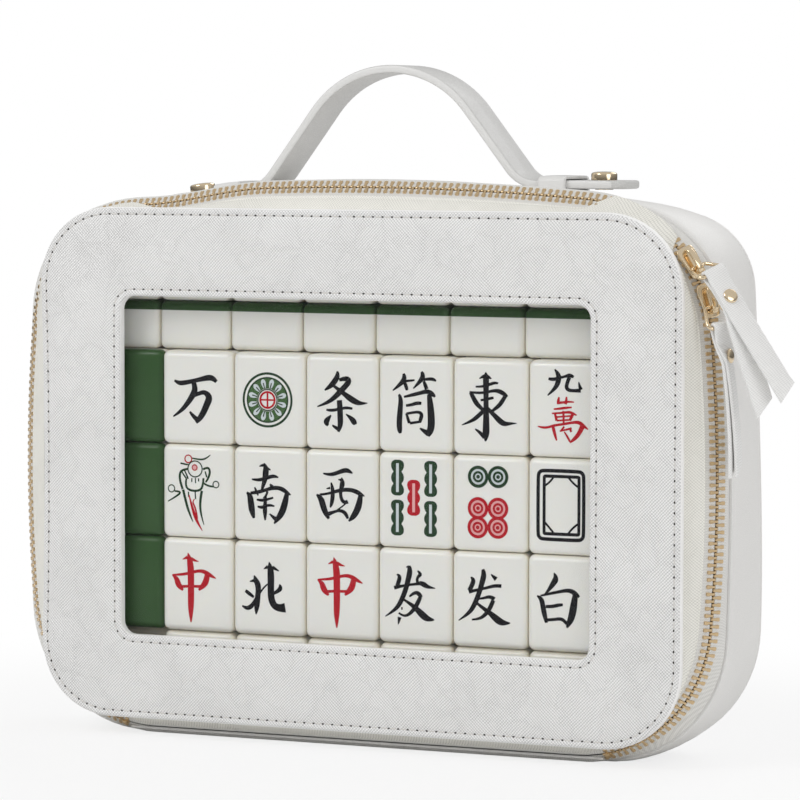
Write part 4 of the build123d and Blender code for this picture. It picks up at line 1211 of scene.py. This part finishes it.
signs = {
    "ten_thousand": """
        -11 7.3 .45 -9 6.2 .9 -7 6.2 1 -3 7 .85 1 7.9 .85 5.6 9 1.2 8 8.8 1.1 9.6 7.2 .7,
        -1.6 6.6 1 -.6 4 1.3 -2 1 1.3 -4.4 -2.4 1.05 -7.6 -6 .8 -11.6 -8.6 .3,
        -1.4 1 .8 1.4 2 .8 3.8 2.7 .9 6.4 .4 1.5 4.8 -3 1.4 3.2 -6.5 1.3 1.3 -9.2 1.2 -.4 -11
        .6, -3.5 -6.2 .4 -1.8 -8.3 .9 .4 -9.8 1""",
    "bamboo_word": """
        -1.7 13.4 .4 -1.2 11.6 1.1 -3.3 8.4 1.2 -5.5 6.4 .9 -7.7 5 .3,
        -.8 9.6 .6 2.4 10.6 1 4.2 9.4 1.2 2 6.8 1.1 -.3 4.6 1.2 -3 2 1 -6.5 -.5 .7 -11.2 -2.2
        .25, -4 7.4 .5 -.7 5.2 .8 1.5 3.8 .9 4.3 1.8 1.3 7.2 .3 1.2 9.6 -.3 .7 12.6 0 .2,
        -.7 .9 1.1 -.4 -2 1.2 -.3 -6 1.2 -.1 -10 1.2 -1.2 -12.8 .5,
        -4.1 -10 .3 -2.3 -11.2 .8 -.6 -11.8 .8,
        -6.9 -3.4 .4 -4.8 -3.8 .7 -.5 -2.9 .5 3 -2.1 .65 5.5 -2.6 .45,
        -4.6 -5.7 .25 -6.6 -7.8 1.2 -7 -9.2 1.2 -6 -10.2 .5,
        2.4 -5 .2 4.8 -6.6 .9 6.5 -8.5 1.3 6.9 -9.4 .7""",
    "circle_word": """
        -5.2 13.2 .5 -4.4 11.4 1.1 -6.2 8.8 .9 -10.2 5.8 .25, -4.4 10 .5 -2 10.2 .5 0 10.5 .35,
        -4.8 9.6 .6 -3.9 7.8 1 -3.5 6 .5, 3.2 14.2 .5 4.3 12.6 1.1 2.6 10 .85 -.6 6.9 .25,
        4 10.8 .5 7 11.3 .65 9.2 11 .7 10 10.3 .3, 4.2 10.2 .5 5 8.6 .9 5.6 6.8 .8,
        -7.4 4.2 .5 -6.3 2.8 .9 -6.7 -2 1.1 -7.2 -8 1.2 -6.9 -11.5 1.1 -6.6 -12.5 .5,
        -5 3.2 .4 -1.5 4 .7 3 5.2 .75 6.2 6 .9 8.6 4.6 1 9.6 3.6 .4,
        6.8 4.6 .9 7.4 0 1.35 7.8 -5 1.5 7.9 -9 1.5 7 -11.8 1.4 6.3 -13.3 .6,
        2.5 -10 .3 4.6 -11.2 .9 6.4 -12.2 1.1, -4 -.5 .5 -1.5 -.2 .6 1.4 .9 .75 3.2 .6 .6,
        -3.9 -3.8 .4 -3.2 -5.6 .7 -2.4 -8 .65,
        -3.8 -4 .5 -1 -3.4 .5 2.2 -3 .6 3.5 -4.2 .8 2.8 -6.2 .8 2.4 -7.6 .6,
        -2.2 -8 .55 .5 -7.6 .5 2.6 -7.2 .5""",
    "east": """
        -4.7 12 .2 -3.2 12.8 .6 -1.7 13.3 .8 -.4 12.8 .6 .8 12 .25,
        -1.7 14.8 .15 -1.7 13 1.1 -1.6 10 1.1 -1.6 6 .95 -1.6 2 .9 -1.5 -2 1 -1.5 -8 1.2 -1.5
        -12 1.3 -1.8 -14.6 .3, -6.4 8.5 .35 -3.5 8.5 .5 0 9.6 .6 2.5 10.5 .6 4 10.2 .35,
        -9.2 6.2 .35 -6 5.8 .55 -2 6.1 .5 2 7.1 .6 4.6 6.9 .9 7 5.6 .9 8.4 4.8 .25,
        -8.6 6 .8 -6.9 2.6 1 -4.9 .2 .9 -2.4 -1.7 .6, 7.4 5.2 .8 5.7 2.2 .85 3.6 0 .8 1 -1.8 .5,
        -4.1 2.8 .45 -1.8 3.1 .5 1 3.9 .6 1.9 4 .45,
        -1.9 -1 .8 -5 -3.8 .9 -8 -6.2 .7 -12.7 -8 .2,
        -.8 -.6 .7 2 -3.2 .9 5 -6 1.2 7 -7 1 9.5 -6.7 .55 12.5 -6.5 .15,
        -6.6 -9.5 .25 -4 -11 .8 -2.2 -13 .9""",
    "nine": """
        -5 16.8 .25 -3.2 14.9 1 -3.2 12 1.1 -4.6 8.8 .8 -8.2 5.7 .25,
        -7.8 12.8 .5 -6 12.4 .8 -3 13.2 .5 0 14 .5 1.9 14.6 .9 3.6 13.8 .5,
        1.6 13.6 .8 .5 10.8 .7 .3 9.2 .8 1.4 8.1 .7 4 8 .6 6.8 8.2 .8,
        5.9 11.8 .2 6.2 10 .6 6.9 8.5 .8""",
    "ten_thousand_full": """
        -3 5.2 .3 -3.4 3.4 .75 -3.3 2.2 .6, .4 5.4 .3 .3 3.6 .65 0 2.2 .5,
        -3.6 2.6 .5 -1 3 .5 1.6 3.4 .4 3.8 3.2 .25, -5.4 0 .3 -2.5 .3 .5 .5 .8 .5 2.8 1 .3,
        -6.2 -1.8 .3 -3.5 -1.7 .4 0 -1.2 .45 2.6 -1 .6 5 -2.3 .25, -4.8 -1.9 .45 -4 -4.8 .55,
        3.4 -1.6 .65 1.9 -4.6 .55, -1 -.6 .4 -.9 -3 .45 -.8 -6.6 .4, -4.2 -3.3 .35 2.6 -2.6 .35,
        -4 -4.8 .35 1.9 -4.3 .35,
        -12.6 -7.4 .2 -10.5 -8 .5 -8 -7.8 .45 -5 -6.8 .5 -1 -6.2 .5 3 -5.4 .5 6 -5.1 .7 8 -6.6
        .8 10.2 -8.1 .2, -5.8 -7 .6 -5 -10 .8 -4 -13.2 .3,
        7.6 -7 1 6.2 -10 .85 4 -12.4 .75 2 -13.9 .3, -.6 -9.4 .25 .8 -11.2 .5 2 -13.4 .4,
        -.6 -7.2 .4 -2 -9 .35, -2.6 -9.2 .3 1.6 -8.2 .45 2.8 -7.8 .4, 1.8 -7.6 .35 2.6 -9.4 .5""",
    "south": """
        -4.3 12.1 .2 -3 12.8 .6 -1.6 12.6 .8,
        -2 13.7 .15 -1.2 12 1.1 -1.2 9.5 1.4 -1.6 6.5 1.1 -2.6 3.5 .75 -3.2 1.6 .45,
        -1 11.8 .6 1.1 10.7 .25, -8 6.4 .3 -5 6 .7 -2 6.8 .7 1.6 8 .75 3.4 8.1 .65 4.9 7.6 .25,
        -10.4 .6 .4 -8.8 -.6 1.2 -8.4 -4 1.4 -7.8 -8 1.35 -6.9 -10.6 .5,
        -8.6 .3 .6 -5 .8 .8 -1 2 .6 2 3 .85 5.5 3.1 .8 8 1.9 1 10.8 .2 .25,
        9 .8 .9 8.2 -3 1.4 6.9 -7 1.4 5 -10 1.2 2.8 -12.6 .3, .6 -8.4 .25 2.6 -10 .7 4 -10.8 1,
        -6.6 3 .25 -5.8 1.2 .75 -4.9 -.6 .3, .8 4.6 .3 1.8 3.4 .9,
        -.4 1.4 .5 -.9 -.8 .5 -2.4 -1.8 .4, -5.6 -2.4 .35 -3.4 -2.8 .7 -.5 -2.2 .5 2.4 -1.3 .4,
        -5.2 -5.4 .35 -3.2 -6 .75 -.8 -4.8 .55 1.2 -4.6 .55 3 -5 .3,
        -1.2 -.8 .5 -1.6 -4 .8 -1.6 -8 1.1 -1.5 -11.3 .3""",
    "west": """
        -8.4 10.2 .3 -5 9.5 .75 -1 10.9 .8 2 12 .95 4 11.7 .85 5.6 10.7 .25,
        -11.5 .9 .4 -9.4 -.4 1.3 -8.4 -4 1.3 -7 -7.4 1.15 -5.6 -9.4 .5,
        -10 .9 .5 -6 1.4 .45 -2.5 2.6 .7 2 3.6 .8 6 3.4 .85 9 2.1 1 11.3 1 .2,
        9.4 1.6 .9 9 -2 1.4 7.4 -6 1.35 5.4 -8.6 1.1 3.8 -10.1 .3,
        -4.6 6.4 .3 -3.8 4 .85 -3.8 0 .9 -4.4 -3 .8 -5 -4.5 .3, -6.8 3.6 .2 -5 4 .5,
        .4 8.7 .2 1 6.6 1.2 .3 4.2 .9 -.2 1.6 .65 .5 -1.2 .75 2 -2.2 .7 3.4 -1.6 .8,
        -1.2 7.8 .2 .4 7.6 .6,
        -6 -7.4 .9 -3 -6.2 .5 -.6 -5.6 .6 1.4 -6 .75 2.8 -7.4 .8 3.4 -9 .5,
        -1.6 -5.4 .3 .6 -4 .3 2.2 -2.6 .3""",
    "centre": """
        -4.5 14 .12 -3.9 12 1.1 -3.1 8 1.5 -3 2 1.4 -3 -6 1.4 -3.1 -12 1.2 -3 -16.6 .25,
        -7.1 11 .15 -4.8 12 .7, -3 11.5 .8 -.8 10.6 .45 .8 10.4 .15,
        -12.2 4 .25 -10.2 2.8 1 -9.4 .2 1.3 -8 -1.6 1 -6.9 -2.6 .4,
        -12 4 .3 -8 4.2 .55 -4 5 .6 0 6.2 .6 3 6.3 .75 6 4.8 1 9.2 3.3 .2,
        5 4.8 1.1 4.6 1.8 1.4 2.6 -.6 1.1 .8 -2.2 .4, -7.4 -1 .6 -3 -.6 .45 1.6 -.6 .6""",
    "north": """
        -6.9 5.6 .2 -6.2 3.8 1.1 -4.8 1.2 1.3 -4.9 -2 1.1 -5.4 -6 1.3 -5.7 -9 1.1 -5.9 -11.5
        .25, -9 2.8 .2 -6.8 3.3 .7, -11.1 -1.3 .6 -9.4 -2.4 1 -7 -4 .45,
        -12.7 -8 .3 -10.8 -9.2 .8 -8.4 -8.4 1 -6.8 -6.2 .7 -5.8 -4 .5,
        -4.4 -2.6 .4 -2.6 .2 .35 -.4 2 .3,
        .4 11.8 .15 .9 9.8 1.2 1.3 6 1.5 1.2 0 1.4 1.4 -4.6 1.45 3 -7.6 1.4 6 -8.3 1.5 8.2 -7.9
        1.9, -2.2 8.6 .15 -.2 9.6 .8, 2 9.5 .8 5.2 8 .2,
        5.4 2.2 .25 6.2 .8 1.1 4.8 -.8 .8 2.6 -1.9 .6""",
    "fortune": """
        -3.8 12.4 .2 -2.4 12.9 .5,
        -2.4 13.1 .6 -1.8 11.4 1.2 -2.8 7 1.1 -4.2 2 1 -6.4 -3 1 -9 -6.4 .7 -13.5 -9.2 .2,
        -8.2 9.2 .25 -6.6 8.8 .85 -7.2 6 .9 -8 4.2 .8,
        -9.4 3.3 .75 -7.8 3.8 .75 -5 4.4 .5 -1 5.2 .5 2.5 5.6 .6,
        1.6 11.2 .25 3.4 9.8 .9 1.8 8.6 .55 1.2 7 .6 1.8 5.8 .7,
        2.4 6 .7 4.4 5.6 1.2 6.4 4.3 .75 9.9 4 .15,
        -2.2 -.2 .35 -1.2 .8 .55 1 1.9 .7 2.6 1 1 3.6 -.2 .5,
        2.9 -.2 .8 1.4 -3.4 .95 -.4 -6 .8 -2.8 -8.2 .6 -5.2 -8.7 .45 -7.2 -7.4 .4,
        -6.8 -9.2 .85 -7.4 -12.4 .2,
        -5.4 -1.2 .4 -2.6 -2.8 .6 0 -4.4 .9 2.4 -6.4 1.3 5 -8.7 1.5 7.4 -9.6 .9 9.4 -9.6 .3,
        -5.7 -4.8 .3 -5.7 -6 .25""",
    "fortune_dotted": """
        1 11.2 .25 2.2 10.2 .6 3.4 9.2 .95,
        -2.8 13.2 .6 -2 11.4 1.2 -3.4 6.5 1.05 -4.8 2 1 -7 -3 1 -9.6 -6.4 .7 -13.9 -9.2 .2,
        -8.4 9.6 .25 -6.8 8.8 1 -7.8 6 .9 -9 3.8 .9,
        -9.2 3.2 .7 -5 4.4 .5 -1 5.3 .55 3 6.6 .7 5.8 6.4 .7,
        -5.2 .4 .35 -2.4 .8 .5 .8 1.9 .7 2.6 .6 .9,
        2.1 .2 .85 .6 -3.4 .9 -1.4 -6 .8 -4.2 -8.2 .55 -7.8 -8.6 .35,
        -5.6 -1.3 .5 -3 -3.2 .7 0 -5 .9 2.4 -6.8 1.3 4.8 -8.7 1.5 7.4 -9.4 1 9.9 -9.2 .2""",
    "white": """
        -4.9 13.2 .2 -3.6 11 1.3 -5.4 8.4 1.1 -7.4 5.6 .6 -9 3.8 .35,
        -12.6 3.1 .3 -10.6 2.2 1 -9.9 -1 1 -9.2 -4.6 1.1 -8.2 -8.2 .6,
        -11 3.2 .35 -7 4.2 .55 -2 5.4 .6 2 6.2 .8 5 4.8 1.1 6.6 3.4 .45,
        4.8 4.6 1 4.2 0 1.5 3.4 -4.5 1.45 2.2 -7.6 1.2 1 -9.8 .4,
        -8.6 -1.3 .6 -5.4 -1.2 .7 -2.6 -.3 .7 -.8 -.2 .5,
        -8.4 -7 .6 -5 -6.7 .6 -2 -6.1 .65 -.2 -6.8 .7 1 -8.2 .65""",
}
# Each sign's paint, column and row, and how far it sits off the tile's middle both ways.
layout = [("ten_thousand", "black", 1, 2, 0.0), ("bamboo_word", "black", 3, 2, 0.0),
          ("circle_word", "black", 4, 2, 0.0), ("east", "black", 5, 2, 0.0),
          ("nine", "black", 6, 2, 0.0), ("ten_thousand_full", "red", 6, 2, 0.0),
          ("south", "black", 2, 1, 0.0), ("west", "black", 3, 1, 0.0),
          ("centre", "red", 1, 0, 0.0), ("north", "black", 2, 0, 0.0),
          ("centre", "red", 3, 0, 1.2), ("fortune", "black", 4, 0, 0.0),
          ("fortune_dotted", "black", 5, 0, 0.0), ("white", "black", 6, 0, 0.0)]
brush_swell = 1.28
for sign, ink, column, row, off in layout:
    x, z = face(column, row)
    draw(ink, signs[sign], (x + off, z + off), swell=brush_swell)

# One circle: a wheel of twelve petals round a red cross.
x, z = face(2, 2)
x -= 0.36
ring("leaf", x, z, 7.4, 2.6)
ring("green", x, z, 11.75, 0.6)
ring("green", x, z, 9.9, 0.35, 1)
ring("green", x, z, 4.7, 0.3, 1)
petal = ((5.2, 0.5), (5.9, 0.95), (7.4, 1.35), (8.6, 1.25), (9.2, 0.4))
vein = ((5.0, 0.25), (6.2, 0.28), (7.6, 0.3))
for k in range(12):
    angle = radians(15 + 30 * k)
    for ink, reaches, layer in (("pale", petal, 1), ("green", vein, 2)):
        points = [f"{x + cos(angle) * r:.3f} {z + sin(angle) * r:.3f} {half}"
                  for r, half in reaches]
        draw(ink, " ".join(points), layer=layer)
ring("red", x, z, 3.5, 0.5, 1)
draw("red", "-3.5 0 .42 3.5 0 .42,0 -3.5 .42 0 3.5 .42", (x, z), layer=1)

# One bamboo: a bird with a crest, a wing and a long tail.
x, z = face(1, 1)
for ink, a, b, radius, half in (("green", -0.9, 9.9, 3.55, 0.3), ("red", -1.1, 10.5, 1.2, 0.28),
                                ("red", -4.2, 14.2, 1.7, 0.3), ("green", 9.3, 3.4, 1.45, 0.28),
                                ("green", -12.5, 0.9, 1.6, 0.28)):
    ring(ink, x + a, z + b, radius, half, 1)
ring("rose", x - 1.1, z + 10.5, 0.45, 0.45)
draw("green", """
    -2.4 14.6 .25 1 14 .33 4.4 14.4 .33 6.6 16.3 .15, -8.1 12.2 .3 -6 11.8 .33 -3.9 11.6 .25,
    -4.4 9.8 .4 -7.4 9.3 .4 -8.6 7.4 .45 -8.2 3.6 .45 -7 .8 .45,
    -7.4 8.4 .25 -6 6.4 .3 -5.2 5.6 .3, -6 8.9 .25 -4.6 6.4 .3 -4.4 5.4 .3,
    -5.2 5.6 .35 -5.8 2.4 .38 -3.8 .3 .42 1 .2 .42 3 2.2 .42 3.2 6 .4, -2.5 5.8 .22 -2.6 4 .22,
    -.8 6 .22 -.7 3.6 .22, .8 5.8 .22 .8 4.4 .22,
    3 9.8 .4 5.4 11.2 .4 6.6 8.8 .45 5.2 5.2 .4 4.2 4.2 .3, 4 9 .25 4.8 6.4 .3,
    3 4.2 .35 4.2 2.6 .35 8 2.4 .33, -14.2 -4.8 .2 -9.8 -2.4 .35 -7.4 -.2 .4 -11 -.2 .3,
    -6.8 .6 .5 -5.4 -5 .5 -3.8 -9.6 .45 -2 -13.4 .15,
    2.4 .4 .5 1.4 -4 .5 1.8 -10 .4 3.4 -14.5 .15, -4.2 -.2 .25 -4.1 -2.6 .25,
    -.9 -.2 .25 -.7 -3.4 .25""", (x, z), swell=1.4)
draw("red", """
    -3.9 -1.6 .25 -2.9 -5.4 .6 -1 -11 .9 .6 -14.2 .65 2.6 -17.2 .15,
    -1.2 -3.4 .25 -2.5 -4.6 .35 -.6 -7.2 .5 .2 -12 .4""", (x, z))

# Five bamboo: jointed sticks, the middle one red.
x, z = face(4, 1)
joints = [(-7.7, 1.1), (-7.3, 2.5), (-5.6, 3.2), (-3.6, 2.7), (-2.6, 1.7), (-1.6, 2.7), (0, 3.1),
          (1.6, 2.7), (2.6, 1.7), (3.6, 2.7), (5.6, 3.2), (7.3, 2.5), (7.7, 1.1)]
stick = " ".join(f"0 {up} {half}" for up, half in joints)
for ink, a, b in (("green", -7.9, 9.65), ("green", 7.6, 9.65), ("red", -0.3, 1.25),
                  ("green", -7.9, -7.55), ("green", 7.6, -7.55)):
    draw(ink, stick, (x + a, z + b))
    shine = "rose" if ink == "red" else "pale"
    draw(shine, "0 -6.2 .65 0 6.2 .65", (x + a, z + b), layer=1)

# Six circles: two green ones over four red ones.
x, z = face(5, 1)
for ink, a, b in (("green", -5.1, 11.4), ("green", 4.1, 11.6), ("red", -5.1, -2.0),
                  ("red", 4.1, -1.9), ("red", -5.2, -10.2), ("red", 4.0, -10.0)):
    shine = "rose" if ink == "red" else "pale"
    for colour, radius, half, layer in ((shine, 1.8, 1.75, 0), (ink, 4.1, 0.8, 1),
                                        (ink, 1.95, 0.58, 1), (ink, 0.45, 0.45, 1)):
        ring(colour, x + a, z + b, radius, half, layer)

# The framed blank: two lines with rounded corners, and a leaf in each corner.
x, z = face(6, 1)
quarters = ((1, 1, 0), (-1, 1, 90), (-1, -1, 180), (1, -1, 270))
for wide, high, corner, half, shift in ((10.35, 14.55, 2.4, 0.9, 0.0),
                                        (7.9, 12.2, 0.6, 0.8, 0.15)):
    frame_line = [(x - 1.95 + shift * 2 + sx * (wide - corner) + corner * cos(radians(a)),
                   z + 0.65 + sz * (high - corner) + corner * sin(radians(a)), half)
                  for sx, sz, start in quarters for a in range(start, start + 91, 30)]
    strokes["black"].append((frame_line, True, 0))
draw("black", """
    -9.4 8.7 .2 -7 10 .2 -5.4 12.4 .2, 5.9 8.6 .2 3.4 10.2 .2 1.6 12.4 .2,
    -9.4 -6.6 .2 -7.4 -8.6 .2 -5.3 -11 .2, 1.6 -11 .2 3.6 -8.4 .2 5.8 -7 .2""", (x, z), swell=2.6)


def paint_strokes(name, drawn):
    """All the strokes of one paint, as flattened round lines just proud of the ivory.

    Strokes are drawn far apart in Y, so that each one's order is known once they are a mesh.
    """
    layer_apart, stroke_apart, orders = 0.1, 0.01, 8
    thin, layer_rise, stroke_rise = 0.02, 0.07, 0.006
    curve = bpy.data.curves.new(name, "CURVE")
    curve.dimensions = "3D"
    curve.bevel_depth = MM
    curve.bevel_resolution = 1
    curve.resolution_u = 3
    curve.use_fill_caps = True
    for index, (points, closed, layer) in enumerate(drawn):
        line = curve.splines.new("NURBS")
        line.points.add(len(points) - 1)
        y = layer * layer_apart + index % orders * stroke_apart
        for spot, (px, pz, half) in zip(line.points, points):
            spot.co = (px * MM, y, pz * MM, 1.0)
            spot.radius = half
        line.use_cyclic_u = closed
        line.use_endpoint_u = not closed
        line.order_u = 3
    piece = bpy.data.objects.new(name, curve)
    bpy.context.collection.objects.link(piece)
    only(piece)
    bpy.ops.object.convert(target="MESH")
    piece = bpy.context.object
    for vertex in piece.data.vertices:
        order = round(vertex.co.y / stroke_apart)
        half = min(max(vertex.co.y - order * stroke_apart, -thin * MM), thin * MM)
        rise = layer_rise * (order // 10) + stroke_rise * (order % 10)
        vertex.co.y = half - (tile_face_y + rise) * MM
    return piece


tile_face_y = 24.4
for ink, drawn in strokes.items():
    dress(paint_strokes(ink + "_marks", drawn), inks[ink], "case_body", None, angle=60)
